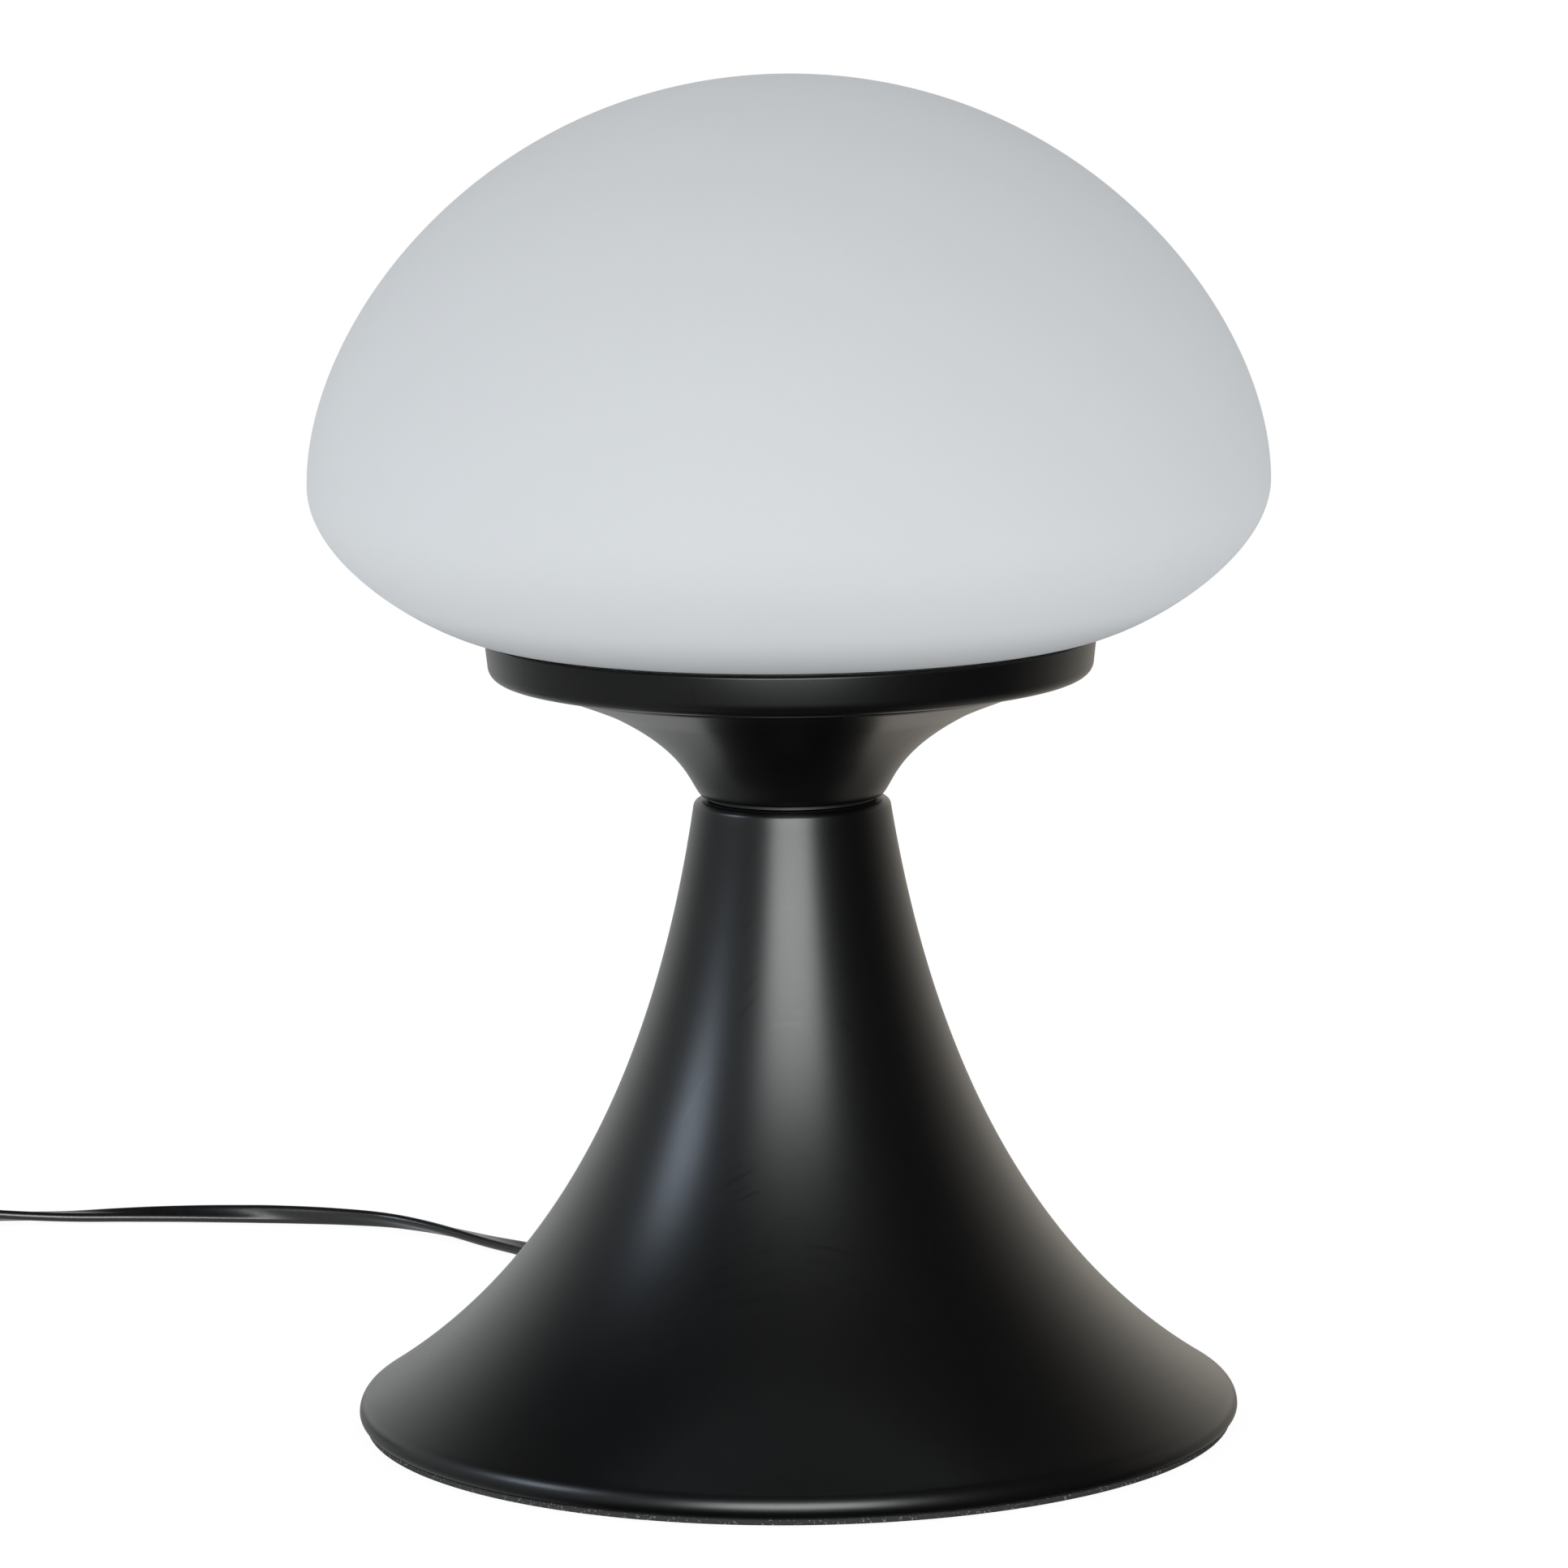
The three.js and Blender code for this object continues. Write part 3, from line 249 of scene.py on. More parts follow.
camera = {
    "distance": 1.631,  # metres, from the lamp's axis
    "height": 0.4033,
    "pitch": 0.158,
    "roll": 0.0105,
    "lens": 171.4,
    "sensor": 36,
    "shift": -0.0051,
    "nearest": 0.05,
}
cameraData = bpy.data.cameras.new("camera")
cameraData.lens = camera["lens"]
cameraData.sensor_width = camera["sensor"]
cameraData.shift_x = camera["shift"]
cameraData.clip_start = camera["nearest"]
cameraObject = addObject("camera", cameraData)
cameraObject.matrix_world = (
    Matrix.Translation((0, -camera["distance"], camera["height"]))
    @ Matrix.Rotation(quarter - camera["pitch"], 4, "X")
    @ Matrix.Rotation(-camera["roll"], 4, "Z")
)
bpy.context.scene.camera = cameraObject
print("camera set")


# Materials: short forms of the nodes in use, groups for what finishes share, then the finishes

def addNode(tree, kind, links=(), **values):
    node = tree.nodes.new(kind)
    for key, value in values.items():
        setattr(node, key, value)
    for socket, source in dict(links).items():
        if hasattr(source, "is_output"):
            tree.links.new(source, node.inputs[socket])
        else:
            node.inputs[socket].default_value = source
    return node


def calculate(tree, operation, first, second):
    return addNode(tree, "ShaderNodeMath", {0: first, 1: second}, operation=operation).outputs[0]


def multiply(tree, first, second):
    return calculate(tree, "MULTIPLY", first, second)


def mixValue(tree, share, first, second):
    return addNode(tree, "ShaderNodeMix", {0: share, 2: first, 3: second}).outputs[0]


def mixColour(tree, share, first, second):
    return addNode(tree, "ShaderNodeMix", {0: share, 6: first, 7: second}, data_type="RGBA").outputs[2]


def remap(tree, value, first, last, low=0.0, high=1.0, curve="LINEAR"):
    return addNode(tree, "ShaderNodeMapRange", {
        "Value": value, "From Min": first, "From Max": last, "To Min": low, "To Max": high},
        interpolation_type=curve).outputs["Result"]


def ease(tree, value, first, last, low=0.0, high=1.0):
    return remap(tree, value, first, last, low, high, "SMOOTHSTEP")


def objectSpot(tree):
    return addNode(tree, "ShaderNodeTexCoord").outputs["Object"]


def axisParts(tree, vector):
    return addNode(tree, "ShaderNodeSeparateXYZ", {"Vector": vector}).outputs


def noise(tree, spot, scale, detail, roughness=0.5):
    return addNode(tree, "ShaderNodeTexNoise", {
        "Vector": spot, "Scale": scale, "Detail": detail, "Roughness": roughness}).outputs["Fac"]


def newGroup(name, inputs, outputs):
    group = bpy.data.node_groups.new(name, "ShaderNodeTree")
    kind = "NodeSocketFloat"
    for label, value in inputs.items():
        group.interface.new_socket(label, in_out="INPUT", socket_type=kind).default_value = value
    for label in outputs:
        group.interface.new_socket(label, in_out="OUTPUT", socket_type=kind)
    return group, group.nodes.new("NodeGroupInput").outputs, group.nodes.new("NodeGroupOutput").inputs


wear = {
    "fineRoughness": 0.6,
    "coarseDetail": 4.0,
    "coarseRoughness": 0.55,
    "grainRange": (0.2, 0.8),  # the grain values that give the least and the most rough places
    "dustFacing": (0.1, 1.0),  # how far up a face looks, from the first dust to all of it
    "dustDetail": 5.0,
    "dustRoughness": 0.7,
    "dustBroken": (0.42, 0.75),
    "dustColour": (150, 150, 148),
    "scratchTurns": ((0.3, 0.5, 0.2), (1.2, 0.1, 1.9)),
    "scratchDetail": 2.0,
    "scratchBand": (0.66, 0.72),
    "speckDetail": 1.0,
    "speckBand": (0.62, 0.7),
    "speckColour": (124, 125, 124),
    # painted shade: the colour the glass is darkened to near its cup
    "paintedSeatShadeColour": (120, 120, 118),
}


def makeGrainGroup():
    # fine and coarse noise together: Value varies about 0.5, Height feeds a bump
    group, given, wanted = newGroup(
        "surfaceGrain", {"Scale": 900.0, "Detail": 3.0, "Coarse": 40.0, "Coarse Share": 0.3}, ("Value", "Height"))
    spot = objectSpot(group)
    fine = noise(group, spot, given["Scale"], given["Detail"], wear["fineRoughness"])
    coarse = noise(group, spot, given["Coarse"], wear["coarseDetail"], wear["coarseRoughness"])
    group.links.new(mixValue(group, given["Coarse Share"], fine, coarse), wanted["Value"])
    group.links.new(fine, wanted["Height"])
    return group


def makeDustGroup():
    # a thin veil on faces that look up, broken up by noise
    group, given, wanted = newGroup("restingDust", {"Amount": 0.3, "Speck Scale": 260.0}, ("Mask",))
    normal = addNode(group, "ShaderNodeNewGeometry").outputs["Normal"]
    facing = remap(group, axisParts(group, normal)["Z"], *wear["dustFacing"])
    specks = noise(group, objectSpot(group), given["Speck Scale"], wear["dustDetail"], wear["dustRoughness"])
    broken = multiply(group, facing, remap(group, specks, *wear["dustBroken"]))
    group.links.new(multiply(group, broken, given["Amount"]), wanted["Mask"])
    return group


def makeScratchGroup():
    # sparse hairline scratches in all directions
    group, given, wanted = newGroup("hairScratches", {"Scale": 55.0, "Stretch": 26.0}, ("Mask",))
    spot = objectSpot(group)
    masks = []
    for turn in wear["scratchTurns"]:
        stretch = addNode(group, "ShaderNodeCombineXYZ", {"X": 1.0, "Y": given["Stretch"], "Z": 1.0})
        stretched = addNode(group, "ShaderNodeMapping", {
            "Vector": spot, "Rotation": turn, "Scale": stretch.outputs[0]})
        lines = noise(group, stretched.outputs[0], given["Scale"], wear["scratchDetail"])
        masks.append(remap(group, lines, *wear["scratchBand"]))
    group.links.new(calculate(group, "MAXIMUM", *masks), wanted["Mask"])
    return group


grainGroup = makeGrainGroup()
dustGroup = makeDustGroup()
scratchGroup = makeScratchGroup()


def linear(red, green, blue):
    # a colour as it looks on a screen, 0 to 255, turned into light values
    values = [c / 255 for c in (red, green, blue)]
    return tuple(v / 12.92 if v <= 0.04045 else ((v + 0.055) / 1.055) ** 2.4 for v in values) + (1.0,)


def makeFinish(
    name, dark, light, rough, grain, coarse=40.0, coarseShare=0.4, bump=0.1, bumpDepth=0.0002, metallic=0.0,
    specular=0.5, dust=None, specks=None, paintedSeatShade=None, scratch=None,
):
    material = bpy.data.materials.new(name)
    material.use_nodes = True
    tree = material.node_tree
    shader = tree.nodes["Principled BSDF"]
    shader.inputs["Metallic"].default_value = metallic
    shader.inputs["Specular IOR Level"].default_value = specular
    surface = addNode(tree, "ShaderNodeGroup", {
        "Scale": grain, "Coarse": coarse, "Coarse Share": coarseShare}, node_tree=grainGroup).outputs
    colour = mixColour(tree, surface["Value"], linear(*dark), linear(*light))
    roughness = remap(tree, surface["Value"], *wear["grainRange"], *rough)
    if dust:
        veil = addNode(tree, "ShaderNodeGroup", {"Amount": dust}, node_tree=dustGroup).outputs["Mask"]
        colour = mixColour(tree, veil, colour, linear(*wear["dustColour"]))
    if specks:
        few = remap(tree, noise(tree, objectSpot(tree), specks, wear["speckDetail"]), *wear["speckBand"])
        colour = mixColour(tree, few, colour, linear(*wear["speckColour"]))
    if paintedSeatShade:
        # painted shade: the opal glass's colour is darkened by height towards the cup that holds it, standing in for
        # the shade where little light reaches it
        low, high, share = paintedSeatShade
        shadow = ease(tree, axisParts(tree, objectSpot(tree))["Z"], low * mm, high * mm, share, 0.0)
        colour = mixColour(tree, shadow, colour, linear(*wear["paintedSeatShadeColour"]))
    if scratch:
        lines = addNode(tree, "ShaderNodeGroup", node_tree=scratchGroup).outputs["Mask"]
        roughness = calculate(tree, "SUBTRACT", roughness, multiply(tree, lines, scratch))
    uneven = addNode(tree, "ShaderNodeBump", {"Height": surface["Height"], "Strength": bump, "Distance": bumpDepth})
    for socket, source in (("Base Color", colour), ("Roughness", roughness), ("Normal", uneven.outputs["Normal"])):
        tree.links.new(source, shader.inputs[socket])
    return material


looks = {
    "body_paint": dict(
        dark=(6, 6, 8), light=(10, 10, 12), rough=(0.3, 0.36), grain=1400.0, coarse=22.0, coarseShare=0.5,
        bump=0.06, bumpDepth=0.00008, dust=0.004, scratch=0.03, specular=0.3),
    "shade_glass": dict(
        dark=(209, 213, 216), light=(215, 219, 222), rough=(0.74, 0.84), grain=300.0, coarse=14.0, coarseShare=0.7,
        # the glass's painted shade towards its cup: from and to heights in millimetres, and how much
        bump=0.02, paintedSeatShade=(177.0, 189.0, 0.42), specular=0.25),
    "spacer_plastic": dict(
        dark=(10, 10, 11), light=(17, 17, 18), rough=(0.5, 0.65), grain=1200.0),
    "pad_foam": dict(
        dark=(16, 16, 18), light=(50, 50, 53), rough=(0.85, 0.97), grain=1900.0, coarse=700.0, coarseShare=0.3,
        bump=0.5, bumpDepth=0.0003, specks=1500.0),
    "plate_steel": dict(
        dark=(92, 94, 97), light=(118, 120, 123), rough=(0.42, 0.62), grain=500.0, coarse=18.0, bump=0.12,
        scratch=0.12, metallic=1.0),
    "zinc_steel": dict(
        dark=(172, 176, 180), light=(196, 199, 202), rough=(0.24, 0.4), grain=700.0, coarse=90.0, bump=0.06,
        scratch=0.08, metallic=1.0),
    "terminal_brass": dict(
        dark=(176, 146, 84), light=(200, 170, 104), rough=(0.28, 0.42), grain=700.0, bump=0.06, metallic=1.0),
    "gasket_rubber": dict(
        dark=(128, 130, 132), light=(146, 148, 150), rough=(0.7, 0.85), grain=1500.0, bump=0.2),
    "carrier_aluminium": dict(
        dark=(186, 189, 193), light=(206, 208, 211), rough=(0.3, 0.44), grain=900.0, bump=0.08, scratch=0.1,
        metallic=1.0),
    "light_board": dict(
        dark=(228, 229, 226), light=(240, 240, 238), rough=(0.4, 0.52), grain=900.0, bump=0.04),
    "module_plastic": dict(
        dark=(62, 64, 68), light=(78, 80, 84), rough=(0.5, 0.66), grain=1100.0, bump=0.2),
    "circuit_board": dict(
        dark=(24, 80, 50), light=(38, 104, 66), rough=(0.35, 0.5), grain=600.0, bump=0.06),
    "wire_vinyl": dict(
        dark=(146, 28, 26), light=(172, 42, 36), rough=(0.4, 0.5), grain=800.0, bump=0.04),
    "lead_vinyl": dict(
        dark=(11, 12, 15), light=(19, 20, 24), rough=(0.26, 0.36), grain=700.0, coarse=60.0, bump=0.06, dust=0.02),
    "bush_rubber": dict(
        dark=(18, 18, 19), light=(28, 28, 30), rough=(0.58, 0.72), grain=1500.0, bump=0.15),
    "adapter_plastic": dict(
        dark=(22, 22, 24), light=(34, 34, 37), rough=(0.46, 0.6), grain=1700.0, coarse=30.0, bump=0.3,
        bumpDepth=0.00015, dust=0.05),
    "blade_brass": dict(
        dark=(188, 160, 96), light=(212, 184, 118), rough=(0.22, 0.34), grain=600.0, bump=0.04, scratch=0.12,
        metallic=1.0),
    # two finishes on the light board that have no slot of their own
    "chipPackage": dict(
        dark=(226, 222, 208), light=(238, 234, 222), rough=(0.35, 0.48), grain=1800.0, bump=0.04),
    "chipPhosphor": dict(
        dark=(222, 182, 60), light=(236, 200, 84), rough=(0.5, 0.62), grain=3200.0, bump=0.12),
}
finishes = {name: makeFinish(name, **look) for name, look in looks.items()}
for entry in frame["record"]["subparts"]:
    slots = nodes[entry["node"]].data.materials
    slots.clear()
    slots.append(finishes[entry["material_slot"]])
print("materials made:", len(finishes))


# Lead: flat two-core, from the bush at the back, along the table, into the coil and the adapter

lead = {
    "width": 4.6,
    "thickness": 2.3,
    "exitTurn": 18.0,
    "exitLevel": 12.2,
    "exitReach": 126.0,  # from the axis to the tip of the bush
    "hidden": 10.0,  # how far it starts inside the bush
    "sag": (134.0, 11.6),  # reach and level of its first point after the bush
    "coreArc": 112.0,  # how far each core is round, to both sides
    "corePoints": 11,
    "length": 1.54,  # metres, like all that follows
    "step": 0.0016,
    "coilRun": 0.014,
    "tableLevel": 0.0026,
    "lyingBelow": 0.0031,
    "tableGap": 0.0002,
    # degrees from upright at places along x: one slow turn over the free stretch
    "twist": [(-0.2, 111), (-0.183, 90), (-0.172, 71), (-0.150, 39), (-0.139, 26), (-0.1287, 0), (-0.104, -38)],
    "twistHeld": (0.016, 0.008),  # how far it stays flat after the bush and before the coil
}
coil = {
    "centre": (-236.5, 179.5),
    "radius": 30.6,
    "pitch": 2.85,
    "layerGap": 0.55,
    "turns": 8.25,
    "steps": 48,
    "climbTurns": 0.4,
    "softMiddle": 0.0004,  # rounds the spiral where it turns outwards again
    "leadIn": 6.0,
    "leadOut": 10.0,
    "tieThickness": 0.9,
    "clearance": 0.3,
}
# points given in metres, as in the part's source: first hanging, then on the table
hangingRoute = [(-0.0452, 0.1346, 0.0096), (-0.0504, 0.1432, 0.0066), (-0.0576, 0.1536, 0.0037)]
tableRoute = [
    (-0.0674, 0.1666), (-0.0764, 0.1768), (-0.0852, 0.1858), (-0.0934, 0.193), (-0.1026, 0.1988),
    (-0.1146, 0.2026), (-0.13, 0.2056), (-0.15, 0.2086), (-0.171, 0.2104), (-0.194, 0.2108),
]


def runAlong(line):
    return np.concatenate([[0], np.cumsum(np.linalg.norm(np.diff(line, axis=0), axis=1))])


def between(t, first, last, a, b):
    return (last - t) / (last - first) * a + (t - first) / (last - first) * b


def catmull(points, step, samples=24):
    # centripetal curve through the points, resampled evenly
    points = [np.array(p, float) for p in points]
    points = [2 * points[0] - points[1]] + points + [2 * points[-1] - points[-2]]
    fine = []
    for i in range(1, len(points) - 2):
        p0, p1, p2, p3 = points[i - 1:i + 3]
        t0 = 0.0
        t1 = t0 + np.linalg.norm(p1 - p0) ** 0.5
        t2 = t1 + np.linalg.norm(p2 - p1) ** 0.5
        t3 = t2 + np.linalg.norm(p3 - p2) ** 0.5
        for t in np.linspace(t1, t2, samples, endpoint=False):
            middle = between(t, t1, t2, p1, p2)
            b1 = between(t, t0, t2, between(t, t0, t1, p0, p1), middle)
            b2 = between(t, t1, t3, middle, between(t, t2, t3, p2, p3))
            fine.append(between(t, t1, t2, b1, b2))
    fine.append(points[-2])
    fine = np.array(fine)
    run = runAlong(fine)
    wanted = np.linspace(0, run[-1], max(2, round(run[-1] / step) + 1))
    return np.stack([np.interp(wanted, run, fine[:, k]) for k in range(3)], 1)


def coilLine():
    low = coil["tieThickness"] + coil["clearance"] + lead["width"] / 2
    climb = lead["width"] + coil["layerGap"]
    points = []
    for i in range(int(coil["turns"] * coil["steps"]) + 1):
        turn = i / coil["steps"]
        fromMiddle = turn - coil["turns"] / 2
        radius = coil["radius"] - coil["pitch"] * (
            coil["turns"] / 2 - math.sqrt(fromMiddle ** 2 + coil["softMiddle"]))
        t = min(1, max(0, (fromMiddle + coil["climbTurns"] / 2) / coil["climbTurns"]))
        spot = polar(coil["centre"], radius, quarter + turn * 2 * math.pi)
        points.append(np.array([*spot, low + climb * t * t * (3 - 2 * t)]) * mm)
    start = points[0] + np.array([coil["leadIn"] * mm, 0, 0])
    end = points[-1] + np.array([0, -coil["leadOut"] * mm, 0])
    return [start] + points + [end]


def leadLine():
    turn = math.radians(lead["exitTurn"])
    along = np.array([-math.sin(turn), math.cos(turn), 0])

    def onExit(reach, level):
        return along * reach * mm + np.array([0, 0, level * mm])

    tip, level = lead["exitReach"], lead["exitLevel"]
    coilPart = coilLine()
    start = coilPart[0]
    free = catmull([
        onExit(tip - lead["hidden"], level),
        onExit(tip - lead["hidden"] / 2, level),
        onExit(tip, level),
        onExit(tip + lead["thickness"], level),
        onExit(*lead["sag"]),
        *hangingRoute,
        *((x, y, lead["tableLevel"]) for x, y in tableRoute),
        (start[0] + lead["coilRun"], start[1], lead["tableLevel"]),
        (start[0] + lead["thickness"] * mm, start[1], start[2]),
        start,
    ], lead["step"])
    return np.concatenate([free, np.array(coilPart[1:])]), len(free)


def leadTwist(free):
    # degrees from upright, by the distance along the free stretch
    run = runAlong(free)
    after, before = lead["twistHeld"]
    placed = sorted((float(np.interp(-x, -free[:, 0], run)), angle) for x, angle in lead["twist"])
    stops = [(0.0, -180), (after, -180)] + placed + [(run[-1] - before, 180), (run[-1], 180)]
    return np.interp(run, [s for s, _ in stops], [a for _, a in stops])


def smoothed(values, count=13):
    # a running mean with soft ends
    kernel = np.hanning(count + 2)[1:-1]
    return np.convolve(np.pad(values, count // 2, mode="edge"), kernel / kernel.sum(), "valid")


def makeLead():
    line, freeCount = leadLine()
    twist = smoothed(leadTwist(line[:freeCount]))
    twist = np.radians(np.concatenate([twist, np.full(len(line) - freeCount, twist[-1])]))
    half = lead["thickness"] / 2 * mm
    # where it lies on the table, its height follows how it is turned
    lying = line[:, 2] < lead["lyingBelow"]
    lying[freeCount:] = False
    line[lying, 2] = half * (1 + np.abs(np.cos(twist[lying]))) + lead["tableGap"]
    heights = line[:freeCount, 2]
    smooth = smoothed(heights)
    line[:freeCount, 2] = np.maximum(smooth, np.where(lying[:freeCount], heights, smooth))
    arc = math.radians(lead["coreArc"])
    section = [
        (side * (half + half * math.cos(a)), side * half * math.sin(a))
        for side in (1, -1) for a in np.linspace(-arc, arc, lead["corePoints"])]
    verts = []
    for i, p in enumerate(line):
        ahead = unit(line[min(i + 1, len(line) - 1)] - line[max(i - 1, 0)])
        across = unit(np.cross(ahead, (0, 0, 1)))
        upward = np.cross(across, ahead)
        wide = math.cos(twist[i]) * upward + math.sin(twist[i]) * across
        thin = np.cross(ahead, wide)
        verts += [p + wide * u + thin * v for u, v in section]
    piece = editShape(newPiece("lead", verts, joinRings(len(line), len(section)), 60), faceOutwards)
    print("lead:", round(float(runAlong(line)[-1]), 3), "m long")
    return piece, line


leadPiece, leadPath = makeLead()
place(leadPiece, "lead_vinyl", "cord_free", "cord_coil")
exitTurn = math.radians(lead["exitTurn"])
leadExit = (
    -lead["exitReach"] * mm * math.sin(exitTurn), lead["exitReach"] * mm * math.cos(exitTurn), lead["exitLevel"] * mm)


# Base, neck, collar and shade, finely turned

base = {
    "bottom": 1.6,
    "height": 138.7,
    "footRadius": 98.2,
    "wall": 1.2,
    "shoulderRadius": 21.9,
    "shoulderRound": 1.6,
    "rimUpper": 4.2,
    "rimLower": 1.7,
    "rimLip": 4.0,
    "footAngle": 32.8,
    "waistAngle": 8.8,
    "waistReachShare": 0.572,
    "footReachShare": 0.517,
    "topHole": 7.4,
    "exitHole": 3.6,
    "exitDrill": 60.0,
    "exitDrillShare": 0.72,  # where its middle is, on the way from the axis to the bush's tip
}


def basePath():
    top = base["bottom"] + base["height"]
    level = base["bottom"] + base["rimLower"]
    lower = (base["footRadius"] - base["rimLower"], level)
    upper = (base["footRadius"] - base["rimUpper"], level)
    shoulderCentre = (base["shoulderRadius"] - base["shoulderRound"], top - base["shoulderRound"])
    slope, waist = math.radians(base["footAngle"]), math.radians(base["waistAngle"])
    foot = polar(upper, base["rimUpper"], quarter - slope)
    shoulder = polar(shoulderCentre, base["shoulderRound"], waist)
    footReach = base["footReachShare"] * (foot[0] - shoulder[0])
    waistReach = base["waistReachShare"] * (shoulder[1] - foot[1])
    return chain(
        [(lower[0] - base["rimLip"], base["bottom"])],
        arcPoints(lower, base["rimLower"], -quarter, 0, steps=10),
        arcPoints(upper, base["rimUpper"], 0, quarter - slope, steps=8),
        bezierPoints(
            foot, polar(foot, footReach, math.pi - slope), polar(shoulder, waistReach, waist - quarter), shoulder,
            steps=90),
        arcPoints(shoulderCentre, base["shoulderRound"], waist, quarter, steps=8),
        [(base["topHole"], top)],
    )


def makeBase():
    piece = lathe("baseBody", sheetLoop(basePath(), base["wall"]))
    x, y, level = leadExit
    shape = bmesh.new()
    addDrill(
        shape, base["exitHole"], base["exitDrill"],
        Matrix.Translation((x * base["exitDrillShare"], y * base["exitDrillShare"], level))
        @ Matrix.Rotation(exitTurn, 4, "Z") @ Matrix.Rotation(quarter, 4, "X"), segments=48)
    return cutWith(piece, pieceFrom(shape, "exitHole"))


place(makeBase(), "body_paint", "base_shell")
print("base turned")

neck = {
    "bottom": 141.5,
    "wall": 1.2,
    "bore": 5.3,
    "footRadius": 20.25,
    "flareRadius": 39.6,
    "flareHeight": 18.4,
    "rimRadius": 55.5,
    "rimHeight": 24.8,
    "footAngle": 42.0,
    "flareAngle": 28.1,
    "rimAngle": 20.0,
    "footReachShare": 0.205,
    "flareReachShare": 0.952,
    "rimReachShares": (0.15, 0.6),
    "clearance": 0.3,
}


def neckPath():
    foot = np.array([neck["footRadius"], neck["bottom"]])
    flareEnd = np.array([neck["flareRadius"], neck["bottom"] + neck["flareHeight"]])
    rim = np.array([neck["rimRadius"], neck["bottom"] + neck["rimHeight"]])
    run = rim[0] - flareEnd[0]
    flareAngle = math.radians(neck["flareAngle"])
    return chain(
        [(neck["bore"], neck["bottom"])],
        bezierPoints(
            foot,
            polar(foot, neck["footReachShare"] * neck["flareHeight"], quarter - math.radians(neck["footAngle"])),
            polar(flareEnd, neck["flareReachShare"] * (flareEnd[0] - foot[0]), math.pi + flareAngle),
            flareEnd, steps=44),
        bezierPoints(
            flareEnd,
            polar(flareEnd, neck["rimReachShares"][0] * run, flareAngle),
            polar(rim, neck["rimReachShares"][1] * run, math.pi + math.radians(neck["rimAngle"])),
            rim, steps=18),
    )


place(lathe("neckFlare", sheetLoop(neckPath(), neck["wall"], 4)), "body_paint", "neck_flare")

collar = {
    "bottom": 161.4,
    "ledge": 168.1,
    "height": 9.0,
    "wall": 1.2,
    "radius": 67.5,
    "draft": 0.6,
    "round": 3.0,
    "dishMargin": 0.6,
    "dishStart": (0.1, 0.05),  # the flat floor ends this far inside and below the dish
    "drill": (-1.0, 3.0),  # from and to, measured from the bottom
}
carrierScrews = {"count": 3, "circle": 28.5, "firstAngle": 90.0, "level": 164.4, "hole": 1.8}


def makeCollar():
    nest = offsetPath(neckPath(), neck["wall"] + neck["clearance"])
    inside, below = collar["dishStart"]
    dish = [p for p in nest if p[1] > collar["bottom"] + below and p[0] > neck["footRadius"]]
    centre = (collar["radius"] - collar["draft"] - collar["round"], collar["ledge"] + collar["round"])
    path = chain(
        [(neck["bore"], collar["bottom"]), (dish[0][0] - inside, collar["bottom"])],
        dish,
        [(neck["rimRadius"] + collar["dishMargin"], collar["ledge"])],
        arcPoints(centre, collar["round"], -quarter, 0, steps=10),
        [(collar["radius"], collar["ledge"] + collar["height"] - collar["wall"] / 2)],
    )
    piece = lathe("collarDish", sheetLoop(path, collar["wall"], 8))
    return drillHoles(piece, carrierScrews, *(collar["bottom"] + d for d in collar["drill"]))


place(makeCollar(), "body_paint", "collar")

glass = {
    "lip": 171.4,
    "neckLength": 6.6,
    "neckRadius": 62.0,
    "wall": 3.0,
    "fillet": 3.0,
    "radius": 105.8,
    "bellyDepth": 33.2,
    "crownHeight": 88.8,
    "underAngle": -14.0,
    "crownReachShare": 0.605,
    "bellyUpShare": 0.412,
    "bellyDownShare": 0.55,
    "underReachShare": 0.2,
}


def makeGlass():
    radius, under = glass["radius"], glass["lip"] + glass["neckLength"]
    bellyLevel = under + glass["bellyDepth"]
    top = bellyLevel + glass["crownHeight"]
    centre = (glass["neckRadius"] + glass["fillet"], under - glass["fillet"])
    angle = math.radians(glass["underAngle"])
    start = polar(centre, glass["fillet"], quarter + angle)
    belly = (radius, bellyLevel)
    path = chain(
        [(glass["neckRadius"], glass["lip"])],
        arcPoints(centre, glass["fillet"], math.pi, quarter + angle, steps=10),
        bezierPoints(
            start,
            polar(start, glass["underReachShare"] * (radius - start[0]), angle),
            (radius, bellyLevel - glass["bellyDownShare"] * glass["bellyDepth"]),
            belly, steps=48),
        bezierPoints(
            belly,
            (radius, bellyLevel + glass["bellyUpShare"] * glass["crownHeight"]),
            (glass["crownReachShare"] * radius, top),
            (0, top), steps=80),
    )
    return lathe("shadeGlass", sheetLoop(path, glass["wall"]))


place(makeGlass(), "shade_glass", "glass_shade", body="shade")
print("neck, collar and shade turned")

pad = {"radius": 96.7, "thickness": 1.3, "edge": 0.35}


def makePad():
    edge, thickness = pad["edge"], pad["thickness"]
    flat = pad["radius"] - edge
    return lathe("footPad", chain(
        [(0, 0), (flat, 0)],
        arcPoints((flat, edge), edge, -quarter, 0, steps=4),
        arcPoints((flat, thickness - edge), edge, 0, quarter, steps=4),
        [(0, thickness)]))


place(makePad(), "pad_foam", "foot_pad")

spacer = {"bore": 5.3, "spigot": 6.8, "radius": 18.8, "low": 139.1, "flange": 140.6, "high": 141.2}
spacerLoop = chain((spacer[radius], spacer[level]) for radius, level in (
    ("bore", "low"), ("spigot", "low"), ("spigot", "flange"), ("radius", "flange"), ("radius", "high"),
    ("bore", "high")))
place(lathe("grooveRing", spacerLoop, 192), "spacer_plastic", "neck_spacer")
print("pad and groove ring turned")


# Rings of copies: screws, light chips and spring clips are laid round the axis by one tree

